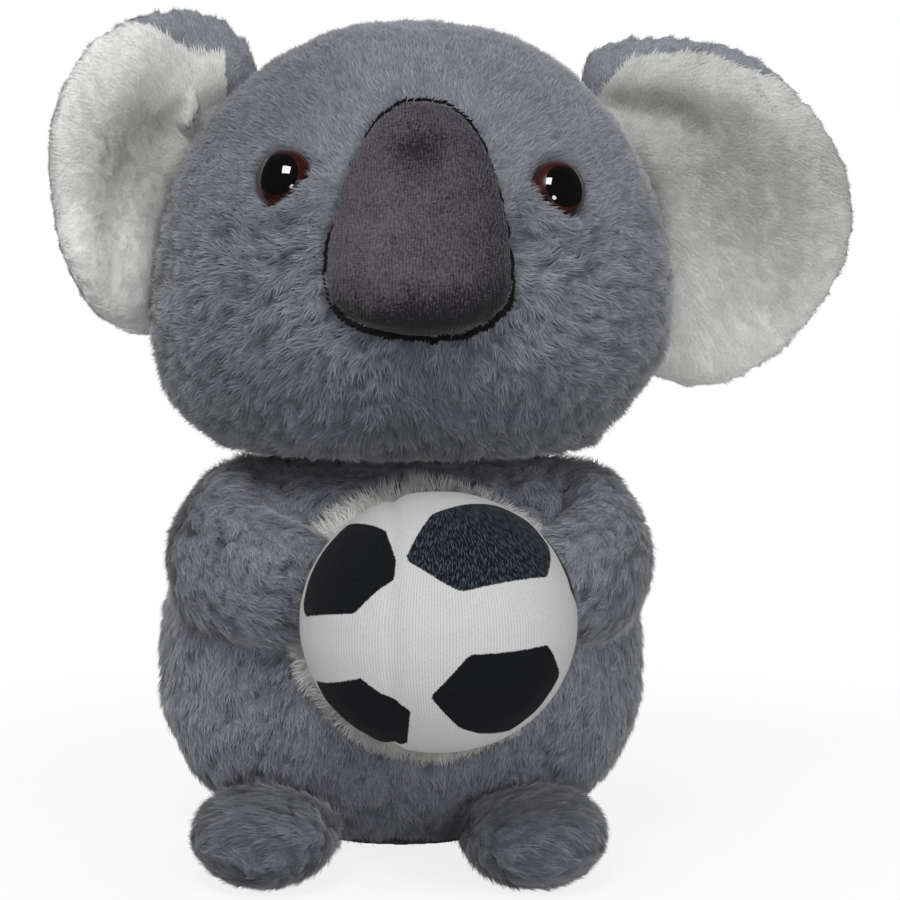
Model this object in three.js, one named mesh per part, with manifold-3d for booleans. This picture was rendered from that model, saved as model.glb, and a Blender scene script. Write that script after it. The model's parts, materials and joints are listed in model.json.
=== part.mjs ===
// A sitting plush koala that holds a football: stuffed covers with their fillings inside.
// Millimetres, +Z up, the front towards -Y, the origin on the floor under the neck.
import * as THREE from 'three';
import { mergeVertices } from 'three/addons/utils/BufferGeometryUtils.js';
import Module from 'manifold-3d';

const wasm = await Module();
wasm.setup();

// Cloth, gaps and cuts
const seamGap = 0.3;
const swingGap = 0.5;
const plushWall = 2.6;
const fillingEase = 0.4;
const cutOverrun = 60;

// Torso: sizes are half sizes from its widest level
const torsoWidestHeight = 54;
const torsoHalfWidth = 73;
const torsoFront = 52;
const torsoBack = 50;
const torsoRise = 77;
const torsoDrop = 56;
const neckHeight = 117.8;
const neckMouthRadius = 24;
const baseHalfWidth = 22;
const baseHalfDepth = 14;
const pelletBagHalfWidth = 34;
const pelletBagHalfDepth = 26;
const pelletBagRise = 26;

// Head: half sizes from its widest level, then how it sits on the neck
const headWidestHeight = 159;
const headHalfWidth = 77.5;
const headFront = 62;
const headBack = 58;
const headRise = 85.5;
const headDrop = 50;
const headAside = 3;
const headForward = 5;
const headRoll = THREE.MathUtils.degToRad(2.5);
const headTurn = THREE.MathUtils.degToRad(2);
const muzzlePush = 7;
const muzzleHalfWidth = 40;
const muzzleHalfHeight = 34;

// Nose pad, which leans back with the face
const noseBottom = 0;
const noseHeight = 63.5;
const noseLowHalfWidth = 31.5;
const noseHighHalfWidth = 17;
const noseLowDepth = 28;
const noseHighDepth = 15;
const noseLowForward = 60;
const noseHighForward = 41;
const noseBackDepth = 16;
const noseStitchWidth = 1.3;
const noseStitchHeight = 1.5;

// Eyes with a shank and a locking washer inside the head
const eyeRadius = 8;
const eyeDome = 5.2;
const eyeRim = 1.2;
const eyeSpread = 38.9;
const eyeHeight = 41.3;
const eyeSink = 1;
const pupilRadius = 5.6;
const pupilDome = 2.6;
const pupilSeat = 2.8;
const shankRadius = 2.2;
const shankLength = 9;
const washerRadius = 7.5;
const washerThickness = 1.4;

// Ears: reach is from the root seam's chord, height along the seam
const earReach = 77;
const earHeight = 105;
const earRootInset = 18;
const earBackHalfThickness = 6;
const earLiningHalfThickness = 4;
const earCup = 15;
const earLiningInset = 4.5;
const earLiningForward = 3.6;
const earLiningDrop = 2.5;
const earHingeOut = 76;
const earHingeBack = 13;
const earHingeHeight = 36;
const earTilt = THREE.MathUtils.degToRad(17);
const earSwingLeft = THREE.MathUtils.degToRad(58);
const earSwingRight = THREE.MathUtils.degToRad(24);
const earTwistLeft = THREE.MathUtils.degToRad(17);
const earTwistRight = THREE.MathUtils.degToRad(3);
const earFoldBack = THREE.MathUtils.degToRad(25);
const earFoldForward = THREE.MathUtils.degToRad(10);

// Football, sewn to the belly patch a little to one side
const ballHalfWidth = 39;
const ballHalfHeight = 36.5;
const ballHalfDepth = 36;
const ballPress = 5;
const ballAside = 11.5;
const ballHeight = 80;
const ballWall = 1.8;
const ballMouthRadius = 11;

// Belly patch: an oval of long fur on the front of the torso
const patchHalfWidth = 40;
const patchHalfHeight = 41;
const patchThickness = 2.8;
const patchAside = 9;
const patchHeight = 74.5;

// Arms: from the shoulder round to the ball, with heights from the shoulder seam's hinge
const armHingeHeight = 90;
const armOpening = THREE.MathUtils.degToRad(35);
const shoulderRise = 5;
const shoulderInset = 22;
const shoulderBack = 4;
const elbowDrop = 3;
const elbowInset = 17.5;
const elbowForward = 32;
const elbowFollowShare = 0.28;
const pawDrop = 5;
const pawTuck = 14;
const pawForward = 63;
const armHalfHeight = 26;
const armHalfThickness = 16.5;
const pawHalfHeight = 17.5;
const pawHalfThickness = 13.5;
const armMouthRadius = 6;
const armMouthAlongShare = 0.4;
const armMouthOutShare = 0.4;

// Feet: rounded stubs at the front of the base
const footSpread = 37.5;
const footHalfWidth = 22.5;
const footHalfLength = 30;
const footForward = 49;
const footHeight = 26;
const footFlattening = 1;
const footMouthRadius = 6;

// How round each form is: 2 is an ellipse, more is fuller
const ellipsePowerShare = 2;
const torsoUpPowerShare = 2;
const torsoDownPowerShare = 2.5;
const headUpPowerShare = 2.25;
const headDownPowerShare = 2.35;
const planPowerShare = 2.2;
const noseEndPowerShare = 2.8;
const limbPowerShare = 2.6;
const earCrownPowerShare = 2.4;

// Facets round each form, and from its one end to the other
const facets = {
  torso: { around: 30, levels: 15 },
  pelletBag: { around: 16, levels: 8 },
  ball: { around: 26, levels: 13 },
  arm: { around: 18, levels: 11 },
  foot: { around: 18, levels: 9 },
  head: { around: 34, levels: 18 },
  nose: { around: 22, levels: 12 },
  basePanel: { around: 24 },
  patch: { around: 32 },
  ear: { around: 26 },
  turned: { around: 16, levels: 4 },
};

// Steps from one limit of a swing to the other at which a moving piece is cut clear
const swingSteps = 7;

// Inside surfaces have this share of the facets of the ones that show.
const insideFinenessShare = 0.6;

const greyPlush = { color: 0x6b6d75, roughness: 0.95, metalness: 0 };
const whitePlush = { color: 0xc4c4c0, roughness: 0.95, metalness: 0 };
const velour = { color: 0x544e52, roughness: 0.9, metalness: 0 };
const blackThread = { color: 0x17171a, roughness: 0.7, metalness: 0 };
const irisPlastic = { color: 0x4a1a10, roughness: 0.12, metalness: 0 };
const pupilPlastic = { color: 0x0a0a0a, roughness: 0.08, metalness: 0 };
const washerPlastic = { color: 0xe8e8e4, roughness: 0.5, metalness: 0 };
const ballKnit = { color: 0xd6d6d6, roughness: 0.9, metalness: 0 };
const fibre = { color: 0xf0efec, roughness: 1, metalness: 0 };
const bagCloth = { color: 0xd9d3c4, roughness: 0.9, metalness: 0 };

const upward = new THREE.Vector3(0, 0, 1);

// Solids

function solidOf(geometry) {
  const bare = geometry.clone();
  bare.deleteAttribute('normal');
  bare.deleteAttribute('uv');
  const merged = mergeVertices(bare);
  const mesh = new wasm.Mesh({
    numProp: 3,
    vertProperties: Float32Array.from(merged.attributes.position.array),
    triVerts: Uint32Array.from(merged.index.array),
  });
  return new wasm.Manifold(mesh);
}

function geometryOf(solid) {
  const mesh = solid.getMesh();
  const geometry = new THREE.BufferGeometry();
  geometry.setAttribute('position', new THREE.BufferAttribute(mesh.vertProperties, 3));
  geometry.setIndex(new THREE.BufferAttribute(mesh.triVerts, 1));
  geometry.computeVertexNormals();
  return geometry;
}

function lessAll(solid, cutters) {
  return cutters.reduce((rest, cutter) => rest.subtract(cutter), solid);
}

// A closed skin over rings of points that run round the way from the first pole to the last.
function skinOver(firstPole, rings, lastPole) {
  const around = rings[0].length;
  const points = [firstPole, ...rings.flat(), lastPole];
  const last = points.length - 1;
  const index = [];
  const at = (ring, step) => 1 + ring * around + (step % around);
  for (let step = 0; step < around; step += 1) {
    index.push(0, at(0, step + 1), at(0, step));
    index.push(last, at(rings.length - 1, step), at(rings.length - 1, step + 1));
    for (let ring = 0; ring + 1 < rings.length; ring += 1) {
      index.push(at(ring, step), at(ring, step + 1), at(ring + 1, step + 1));
      index.push(at(ring, step), at(ring + 1, step + 1), at(ring + 1, step));
    }
  }
  const geometry = new THREE.BufferGeometry().setFromPoints(points);
  geometry.setIndex(index);
  return geometry;
}

// The sine or cosine of a circle made fuller or flatter, as on a superellipse.
function bulged(value, power) {
  return Math.sign(value) * Math.abs(value) ** (2 / power);
}

// The share of a form's length at a level: the levels lie closer towards both ends.
function shareAlong(level, levels) {
  return (1 - Math.cos((Math.PI * level) / levels)) / 2;
}

// How much of its full size a closed form has at a share of its length.
function endRounding(share, power) {
  return (1 - Math.abs(2 * share - 1) ** power) ** (1 / power);
}

// The facet counts of a form, which are lower where it is an inside surface.
function finenessOf({ around, levels }, grow) {
  const share = grow < 0 ? insideFinenessShare : 1;
  return { around: 2 * Math.round((around * share) / 2), levels: Math.round(levels * share) };
}

// A stuffed form about its widest level, with its own half sizes up, down, front and back.
function roundedForm(form, grow = 0) {
  const { centre, halfWidth, front, back, rise, drop, upPower, downPower, shape } = form;
  const { around, levels } = finenessOf(form, grow);
  const surfacePoint = (turn, lift) => {
    const power = lift > 0 ? upPower : downPower;
    const height = lift > 0 ? rise + grow : drop + grow;
    const reach = bulged(Math.cos(lift), power);
    const depth = Math.sin(turn) > 0 ? back + grow : front + grow;
    const x = (halfWidth + grow) * reach * bulged(Math.cos(turn), planPowerShare);
    const y = depth * reach * bulged(Math.sin(turn), planPowerShare);
    const z = height * bulged(Math.sin(lift), power);
    const point = new THREE.Vector3(x, y, z);
    return (shape ? shape(point) : point).add(centre);
  };
  const rings = [];
  for (let level = 1; level < levels; level += 1) {
    const lift = Math.PI * (level / levels - 0.5);
    const ring = [];
    for (let step = 0; step < around; step += 1) {
      ring.push(surfacePoint((2 * Math.PI * step) / around, lift));
    }
    rings.push(ring);
  }
  const low = surfacePoint(0, -Math.PI / 2);
  const high = surfacePoint(0, Math.PI / 2);
  return skinOver(low, rings, high);
}

// A round limb along a curve, swelling from its end sizes and closed at both ends.
function limbForm(curve, startSize, endSize, grow = 0) {
  const { around, levels } = finenessOf(facets.arm, grow);
  const rings = [];
  for (let level = 1; level < levels; level += 1) {
    const share = shareAlong(level, levels);
    const centre = curve.getPointAt(share);
    const along = curve.getTangentAt(share);
    const aside = new THREE.Vector3().crossVectors(upward, along).normalize();
    const above = new THREE.Vector3().crossVectors(along, aside);
    const swell = endRounding(share, limbPowerShare);
    const thickness = THREE.MathUtils.lerp(startSize.x, endSize.x, share) * swell + grow * swell;
    const height = THREE.MathUtils.lerp(startSize.y, endSize.y, share) * swell + grow * swell;
    const ring = [];
    for (let step = 0; step < around; step += 1) {
      const turn = (2 * Math.PI * step) / around;
      const point = centre.clone();
      point.addScaledVector(aside, thickness * Math.cos(turn));
      point.addScaledVector(above, height * Math.sin(turn));
      ring.push(point);
    }
    rings.push(ring);
  }
  const inward = curve.getTangentAt(0).multiplyScalar(-grow);
  const outward = curve.getTangentAt(1).multiplyScalar(grow);
  return skinOver(curve.getPointAt(0).add(inward), rings, curve.getPointAt(1).add(outward));
}

// The space below a level, or above it, wide enough to cut any piece.
function spaceBeyond(level, below) {
  const wide = 2 * (headHalfWidth + earReach + cutOverrun);
  const tall = headWidestHeight + headRise + cutOverrun;
  const box = new THREE.BoxGeometry(wide, wide, tall);
  box.translate(0, 0, below ? level - tall / 2 : level + tall / 2);
  return solidOf(box);
}

// A round plug from one point towards another.
function plugBetween(start, end, radius) {
  const along = new THREE.Vector3().subVectors(end, start);
  const plug = new THREE.CylinderGeometry(radius, radius, along.length(), facets.turned.around);
  plug.translate(0, along.length() / 2, 0);
  const turn = new THREE.Quaternion().setFromUnitVectors(new THREE.Vector3(0, 1, 0), along.normalize());
  plug.applyQuaternion(turn);
  plug.translate(start.x, start.y, start.z);
  return solidOf(plug);
}

// A cover and its filling. The body is asked for at a depth below its own surface.
function stuffed(bodyAt, mouthAt, wall = plushWall) {
  const body = bodyAt(0);
  const cover = body.subtract(bodyAt(wall)).subtract(mouthAt(0));
  const plug = mouthAt(fillingEase).intersect(body);
  const filling = bodyAt(wall + fillingEase).add(plug);
  return { cover, filling };
}

// Turned copies of a geometry about a hinge, for what has to stay clear of it as it moves.
function turnedAbout(geometry, hinge, angle) {
  const turn = new THREE.Matrix4().makeRotationAxis(hinge.axis, angle);
  const there = new THREE.Matrix4().makeTranslation(hinge.origin);
  const back = there.clone().invert();
  return solidOf(geometry.clone().applyMatrix4(there.multiply(turn).multiply(back)));
}

function clearOfWhileTurning(solid, obstacle, hinge, { low, high }) {
  const turned = [];
  for (let step = 0; step <= swingSteps; step += 1) {
    const angle = THREE.MathUtils.lerp(low, high, step / swingSteps);
    turned.push(turnedAbout(obstacle, hinge, -angle));
  }
  return lessAll(solid, turned);
}

function mirroredSideways(geometry) {
  const mirrored = geometry.clone().scale(-1, 1, 1);
  const index = mirrored.index;
  for (let corner = 0; corner < index.count; corner += 3) {
    const second = index.getX(corner + 1);
    index.setX(corner + 1, index.getX(corner + 2));
    index.setX(corner + 2, second);
  }
  return mirrored;
}

// Torso

const torsoForm = {
  centre: new THREE.Vector3(0, 0, torsoWidestHeight),
  halfWidth: torsoHalfWidth,
  front: torsoFront,
  back: torsoBack,
  rise: torsoRise,
  drop: torsoDrop,
  upPower: torsoUpPowerShare,
  downPower: torsoDownPowerShare,
  ...facets.torso,
};

function torsoBody(inset) {
  const form = solidOf(roundedForm(torsoForm, -inset));
  return lessAll(form, [spaceBeyond(inset, true), spaceBeyond(neckHeight - inset, false)]);
}

function neckMouth(inset) {
  const low = new THREE.Vector3(0, 0, neckHeight - 2 * plushWall);
  const high = new THREE.Vector3(0, 0, neckHeight + seamGap + 2 * plushWall);
  return plugBetween(low, high, neckMouthRadius - inset);
}

function baseOval(inset, height) {
  const oval = new THREE.CylinderGeometry(1, 1, height, facets.basePanel.around);
  oval.rotateX(Math.PI / 2);
  oval.scale(baseHalfWidth - inset, baseHalfDepth - inset, 1);
  return oval;
}

function pelletBagForm(grow) {
  const bottom = plushWall + fillingEase;
  const form = {
    centre: new THREE.Vector3(0, 0, bottom + pelletBagRise / 2),
    halfWidth: pelletBagHalfWidth,
    front: pelletBagHalfDepth,
    back: pelletBagHalfDepth,
    rise: pelletBagRise / 2,
    drop: pelletBagRise,
    upPower: ellipsePowerShare,
    downPower: ellipsePowerShare,
    ...facets.pelletBag,
  };
  return solidOf(roundedForm(form, grow));
}

function makeTorso() {
  const torso = stuffed(torsoBody, neckMouth);
  const baseMouth = baseOval(0, 2 * plushWall);
  const cover = torso.cover.subtract(solidOf(baseMouth));
  const panel = baseOval(seamGap, plushWall);
  panel.translate(0, 0, plushWall / 2);
  const filling = torso.filling.subtract(pelletBagForm(fillingEase));
  const bag = pelletBagForm(0).intersect(torsoBody(plushWall + fillingEase));
  return { cover, filling, panel: solidOf(panel), bag };
}

// Belly patch, laid over the torso's front

function patchColumn(grow) {
  const length = torsoFront + cutOverrun;
  const column = new THREE.CylinderGeometry(1, 1, length, facets.patch.around);
  column.scale(patchHalfWidth + grow, 1, patchHalfHeight + grow);
  column.translate(patchAside, -length / 2, patchHeight);
  return solidOf(column);
}

function makePatch() {
  const outer = solidOf(roundedForm(torsoForm, patchThickness + seamGap));
  const inner = solidOf(roundedForm(torsoForm, seamGap));
  return outer.subtract(inner).intersect(patchColumn(0));
}

// The space that the patch takes, with room round it.
function patchRoom(grow) {
  const outer = solidOf(roundedForm(torsoForm, patchThickness + seamGap + grow));
  return outer.intersect(patchColumn(grow));
}

// Football

const ballForward = torsoFront + patchThickness + ballHalfDepth - ballPress;

const ballForm = {
  centre: new THREE.Vector3(ballAside, -ballForward, ballHeight),
  halfWidth: ballHalfWidth,
  front: ballHalfDepth,
  back: ballHalfDepth,
  rise: ballHalfHeight,
  drop: ballHalfHeight,
  upPower: ellipsePowerShare,
  downPower: ellipsePowerShare,
  ...facets.ball,
};

function ballBody(inset) {
  const behind = solidOf(roundedForm(torsoForm, patchThickness + 2 * seamGap + inset));
  return solidOf(roundedForm(ballForm, -inset)).subtract(behind);
}

function ballMouth(inset) {
  const inside = ballForm.centre.clone();
  const behind = new THREE.Vector3(ballAside, 0, ballHeight);
  return plugBetween(inside, behind, ballMouthRadius - inset);
}

// Arms, each cut clear of the torso, patch and ball all through its opening

function torsoHalfWidthAt(height) {
  const share = (height - torsoWidestHeight) / torsoRise;
  return torsoHalfWidth * (1 - share ** torsoUpPowerShare) ** (1 / torsoUpPowerShare);
}

function armHinge(side) {
  const low = torsoHalfWidthAt(armHingeHeight - plushWall);
  const high = torsoHalfWidthAt(armHingeHeight + plushWall);
  const axis = new THREE.Vector3(side * (high - low), 0, 2 * plushWall).normalize();
  const x = side * (torsoHalfWidthAt(armHingeHeight) + seamGap);
  return { origin: new THREE.Vector3(x, 0, armHingeHeight), axis: axis.multiplyScalar(side) };
}

function armCurve(side) {
  const ballSide = ballAside + side * (ballHalfWidth - pawTuck);
  const elbow = side * (torsoHalfWidth - elbowInset) + elbowFollowShare * ballAside;
  const places = [
    new THREE.Vector3(side * (torsoHalfWidth - shoulderInset), shoulderBack, shoulderRise),
    new THREE.Vector3(elbow, -elbowForward, -elbowDrop),
    new THREE.Vector3(ballSide, -pawForward, -pawDrop),
  ];
  return new THREE.CatmullRomCurve3(places.map((place) => place.addScaledVector(upward, armHingeHeight)));
}

function armBody(side, inset) {
  const startSize = new THREE.Vector2(armHalfThickness, armHalfHeight);
  const endSize = new THREE.Vector2(pawHalfThickness, pawHalfHeight);
  const arm = solidOf(limbForm(armCurve(side), startSize, endSize, -inset));
  const hinge = armHinge(side);
  const opening = { low: 0, high: armOpening };
  const torso = roundedForm(torsoForm, swingGap + inset);
  const ball = roundedForm(ballForm, swingGap + inset);
  const patch = geometryOf(patchRoom(swingGap + inset));
  const clear = [torso, ball, patch].reduce(
    (rest, obstacle) => clearOfWhileTurning(rest, obstacle, hinge, opening),
    arm,
  );
  return clear.subtract(spaceBeyond(neckHeight - inset, false));
}

function armMouth(side, inset) {
  const hollow = armCurve(side).getPointAt(armMouthAlongShare);
  hollow.x += side * armHalfThickness * armMouthOutShare;
  const torsoMiddle = new THREE.Vector3(0, hollow.y, hollow.z);
  return plugBetween(hollow, torsoMiddle, armMouthRadius - inset);
}

function makeArm(side) {
  return stuffed(
    (inset) => armBody(side, inset),
    (inset) => armMouth(side, inset),
  );
}

// Feet

function footBody(side, inset) {
  const form = {
    centre: new THREE.Vector3(side * footSpread, -footForward, footHeight / 2),
    halfWidth: footHalfWidth,
    front: footHalfLength,
    back: footHalfLength,
    rise: footHeight / 2,
    drop: footHeight / 2 + footFlattening,
    upPower: ellipsePowerShare,
    downPower: limbPowerShare,
    ...facets.foot,
  };
  const foot = solidOf(roundedForm(form, -inset));
  const torso = solidOf(roundedForm(torsoForm, seamGap + inset));
  return lessAll(foot, [torso, spaceBeyond(inset, true)]);
}

function footMouth(side, inset) {
  const outside = new THREE.Vector3(side * footSpread, -footForward, footHeight / 2);
  const inside = new THREE.Vector3(side * footSpread, 0, footHeight);
  return plugBetween(outside, inside, footMouthRadius - inset);
}

function makeFoot(side) {
  return stuffed(
    (inset) => footBody(side, inset),
    (inset) => footMouth(side, inset),
  );
}

// Head, worked out about its own widest level and then placed on the neck

const headPlace = new THREE.Matrix4().compose(
  new THREE.Vector3(headAside, -headForward, headWidestHeight),
  new THREE.Quaternion().setFromEuler(new THREE.Euler(0, headRoll, headTurn, 'ZYX')),
  new THREE.Vector3(1, 1, 1),
);

function pushMuzzle(point) {
  const across = (point.x / muzzleHalfWidth) ** 2;
  const upAndDown = (point.z / muzzleHalfHeight) ** 2;
  const facing = Math.max(0, -point.y) / headFront;
  point.y -= muzzlePush * facing * Math.exp(-across - upAndDown);
  return point;
}

const headForm = {
  centre: new THREE.Vector3(),
  halfWidth: headHalfWidth,
  front: headFront,
  back: headBack,
  rise: headRise,
  drop: headDrop,
  upPower: headUpPowerShare,
  downPower: headDownPowerShare,
  shape: pushMuzzle,
  ...facets.head,
};

function headBody(inset) {
  const form = roundedForm(headForm, -inset).applyMatrix4(headPlace);
  return solidOf(form).subtract(spaceBeyond(neckHeight + seamGap + inset, true));
}

// The y of the face at a place across and up, on the head's own axes.
function faceForwardAt(across, height) {
  const level = (1 - Math.abs(height / headRise) ** headUpPowerShare) ** (1 / headUpPowerShare);
  const share = Math.abs(across) / (headHalfWidth * level);
  const y = -headFront * level * (1 - share ** planPowerShare) ** (1 / planPowerShare);
  return pushMuzzle(new THREE.Vector3(across, y, height)).y;
}

function faceNormalAt(across, height) {
  const step = plushWall;
  const slopeX = (faceForwardAt(across + step, height) - faceForwardAt(across - step, height)) / (2 * step);
  const slopeZ = (faceForwardAt(across, height + step) - faceForwardAt(across, height - step)) / (2 * step);
  return new THREE.Vector3(slopeX, -1, slopeZ).normalize();
}

// Nose pad and the stitching round it

function noseForm(grow) {
  const rings = [];
  const { around, levels } = facets.nose;
  const pointAt = (share, turn) => {
    const swell = share > 0 && share < 1 ? endRounding(share, noseEndPowerShare) : 0;
    const width = THREE.MathUtils.lerp(noseLowHalfWidth, noseHighHalfWidth, share) * swell;
    const ahead = THREE.MathUtils.lerp(noseLowDepth, noseHighDepth, share) * swell;
    const depth = Math.sin(turn) > 0 ? noseBackDepth * swell : ahead;
    const x = (width + grow * swell) * bulged(Math.cos(turn), planPowerShare);
    const y = (depth + grow * swell) * Math.sin(turn);
    const forward = THREE.MathUtils.lerp(noseLowForward, noseHighForward, share);
    const z = noseBottom - grow + (noseHeight + 2 * grow) * share;
    return new THREE.Vector3(x, y - forward, z);
  };
  for (let level = 1; level < levels; level += 1) {
    const share = shareAlong(level, levels);
    const ring = [];
    for (let step = 0; step < around; step += 1) {
      ring.push(pointAt(share, (2 * Math.PI * step) / around));
    }
    rings.push(ring);
  }
  return skinOver(pointAt(0, 0), rings, pointAt(1, 0)).applyMatrix4(headPlace);
}

function makeNose() {
  const headOutside = solidOf(roundedForm(headForm, seamGap).applyMatrix4(headPlace));
  const stitchTop = solidOf(roundedForm(headForm, seamGap + noseStitchHeight).applyMatrix4(headPlace));
  const pad = solidOf(noseForm(0)).subtract(headOutside);
  const band = solidOf(noseForm(seamGap + noseStitchWidth)).subtract(solidOf(noseForm(seamGap)));
  const stitching = band.intersect(stitchTop).subtract(headOutside);
  return { pad, stitching };
}

// Eyes

function lathed(profile) {
  const points = profile.map(([radius, height]) => new THREE.Vector2(radius, height));
  return new THREE.LatheGeometry(points, facets.turned.around).rotateX(Math.PI / 2);
}

// A dome's profile from its rim up to where it has narrowed to a smaller radius.
function domeProfile(radius, rise, base, lastRadius) {
  const points = [];
  const { levels } = facets.turned;
  for (let level = 0; level <= levels; level += 1) {
    const lift = Math.acos(lastRadius / radius) * (level / levels);
    points.push([radius * Math.cos(lift), base + rise * Math.sin(lift)]);
  }
  return points;
}

function eyePlace(side) {
  const across = side * eyeSpread;
  const outward = faceNormalAt(across, eyeHeight);
  const seat = new THREE.Vector3(across, faceForwardAt(across, eyeHeight), eyeHeight);
  seat.addScaledVector(outward, -eyeSink);
  const turn = new THREE.Quaternion().setFromUnitVectors(upward, outward);
  const place = new THREE.Matrix4().compose(seat, turn, new THREE.Vector3(1, 1, 1));
  return place.premultiply(headPlace);
}

function ringDome(grow) {
  return domeProfile(eyeRadius + grow, eyeDome, eyeRim, pupilRadius + seamGap);
}

function eyeRing(grow) {
  const seatRadius = pupilRadius + seamGap;
  return lathed([
    [0, -shankLength - grow],
    [shankRadius + grow, -shankLength - grow],
    [shankRadius + grow, -grow],
    [eyeRadius + grow, -grow],
    ...ringDome(grow),
    [seatRadius, pupilSeat],
    [0, pupilSeat],
  ]);
}

// The pupil fills the ring's seat up to its lip, and rises from there as a dome.
function pupilDisc() {
  const base = pupilSeat + seamGap;
  const lip = ringDome(0).at(-1)[1];
  const dome = domeProfile(pupilRadius, pupilDome, lip, 0).slice(0, -1);
  return lathed([[0, base], [pupilRadius, base], ...dome, [0, lip + pupilDome]]);
}

function washerDisc(grow) {
  const top = eyeSink - plushWall - seamGap + grow;
  const bottom = top - washerThickness - 2 * grow;
  const hole = shankRadius + seamGap - grow;
  const corners = [[hole, bottom], [washerRadius + grow, bottom], [washerRadius + grow, top], [hole, top]];
  return lathed([...corners, corners[0]]);
}

// The hollow that the shank and washer take out of the head's filling.
function washerRoom() {
  const floor = eyeSink - plushWall - washerThickness - 2 * seamGap;
  const shank = shankRadius + seamGap;
  const wide = washerRadius + seamGap;
  const end = -shankLength - seamGap;
  const corners = [[0, end], [shank, end], [shank, floor], [wide, floor]];
  return lathed([...corners, [wide, plushWall], [0, plushWall]]);
}

function makeEye(side) {
  const place = eyePlace(side);
  const placed = (geometry) => solidOf(geometry.applyMatrix4(place));
  return {
    ring: placed(eyeRing(0)),
    pupil: placed(pupilDisc()),
    washer: placed(washerDisc(0)),
    coverRoom: placed(eyeRing(seamGap)).add(placed(washerDisc(seamGap))),
    fillingRoom: placed(washerRoom()),
  };
}

// Ears: cushions over one outline, cupped towards the front

const earOutlineShares = [
  [0, 0.2], [0.02, 0.06], [0.14, 0.0], [0.36, 0.0], [0.6, 0.045], [0.82, 0.17], [0.97, 0.36],
  [0.99, 0.56], [0.9, 0.75], [0.72, 0.88], [0.46, 0.96], [0.2, 1.0], [0.04, 0.95], [0, 0.82],
];

// How the cup's depth is spent: at the rim, in its corners, along the folds and in the hollow.
const cupShares = { rim: 0.45, corner: 0.55, fold: 0.25, hollow: 0.35 };

// Where the cushion's rings lie between its middle and its edge.
const earRingShares = [0.5, 0.86];

function earOutline(inset) {
  const middle = new THREE.Vector2(earReach / 2, earHeight / 2);
  const corners = earOutlineShares.map(([outShare, upShare]) => {
    const corner = new THREE.Vector2(outShare * earReach, upShare * earHeight);
    const inward = middle.clone().sub(corner).normalize().multiplyScalar(inset);
    return corner.add(inward).sub(new THREE.Vector2(earRootInset, earHeight / 2));
  });
  const curve = new THREE.CatmullRomCurve3(corners.map(({ x, y }) => new THREE.Vector3(x, 0, y)), true);
  return curve.getPoints(facets.ear.around).slice(0, -1);
}

// How far the cup brings a place on the ear forward.
function cupForward(x, z) {
  const out = Math.max(0, x + earRootInset) / earReach;
  const along = (2 * z) / earHeight;
  const { rim, corner, fold, hollow } = cupShares;
  const edgeRise = out ** 2 * (rim + corner * along ** 2);
  return earCup * (edgeRise + fold * out * along ** 2 - hollow * out);
}

function earCushion({ inset, halfThickness, forward, drop }, twist, grow = 0) {
  const outline = earOutline(inset - grow).map((point) => point.addScaledVector(upward, -drop));
  const middle = outline.reduce((sum, point) => sum.add(point), new THREE.Vector3());
  middle.divideScalar(outline.length);
  const pointAt = (edge, share, face) => {
    const point = middle.clone().lerp(edge, share);
    const crown = (halfThickness + grow) * endRounding((1 + share) / 2, earCrownPowerShare);
    point.y = -cupForward(point.x, point.z) - forward - face * crown;
    return point.applyAxisAngle(upward, (twist * 2 * point.z) / earHeight);
  };
  const ringAt = (share, face) => outline.map((edge) => pointAt(edge, share, face));
  const rings = [
    ...earRingShares.map((share) => ringAt(share, -1)),
    ringAt(1, 0),
    ...earRingShares.toReversed().map((share) => ringAt(share, 1)),
  ];
  return skinOver(pointAt(outline[0], 0, -1), rings, pointAt(outline[0], 0, 1));
}

const earBackShape = { inset: 0, halfThickness: earBackHalfThickness, forward: 0, drop: 0 };

const earLiningShape = {
  inset: earLiningInset,
  halfThickness: earLiningHalfThickness,
  forward: earLiningForward,
  drop: earLiningDrop,
};

function earHinge(side) {
  const origin = new THREE.Vector3(side * earHingeOut, earHingeBack, earHingeHeight);
  const axis = new THREE.Vector3(-side * Math.sin(earTilt), 0, Math.cos(earTilt));
  origin.applyMatrix4(headPlace);
  axis.transformDirection(headPlace);
  return { origin, axis: axis.multiplyScalar(-side) };
}

function earPlace(swing) {
  const tilt = new THREE.Matrix4().makeRotationY(-earTilt);
  const fold = new THREE.Matrix4().makeRotationZ(-swing);
  const seat = new THREE.Matrix4().makeTranslation(earHingeOut, earHingeBack, earHingeHeight);
  return seat.multiply(tilt).multiply(fold);
}

function makeEar({ side, swing, twist }) {
  const cushion = (shape, grow) => {
    const right = earCushion(shape, twist, grow).applyMatrix4(earPlace(swing));
    const sided = side > 0 ? right : mirroredSideways(right);
    return solidOf(sided.applyMatrix4(headPlace));
  };
  const hinge = earHinge(side);
  const folding = { low: -earFoldBack, high: earFoldForward };
  const head = roundedForm(headForm, swingGap).applyMatrix4(headPlace);
  const trimmed = (solid) => clearOfWhileTurning(solid, head, hinge, folding);
  const back = cushion(earBackShape, 0).subtract(cushion(earLiningShape, seamGap));
  return { back: trimmed(back), lining: trimmed(cushion(earLiningShape, 0)) };
}

// The scene: one group for each part that moves, standing at its hinge

function groupAt(parent, hinge) {
  const group = new THREE.Group();
  group.position.copy(hinge.origin);
  group.quaternion.setFromUnitVectors(upward, hinge.axis);
  group.applyMatrix4(parent.matrixWorld.clone().invert());
  parent.add(group);
  parent.updateWorldMatrix(true, true);
  return group;
}

function addPiece(group, name, solid, finish) {
  const geometry = geometryOf(solid).applyMatrix4(group.matrixWorld.clone().invert());
  const mesh = new THREE.Mesh(geometry, new THREE.MeshStandardMaterial(finish));
  mesh.name = name;
  group.add(mesh);
}

const koala = new THREE.Group();
koala.updateMatrixWorld();

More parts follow.
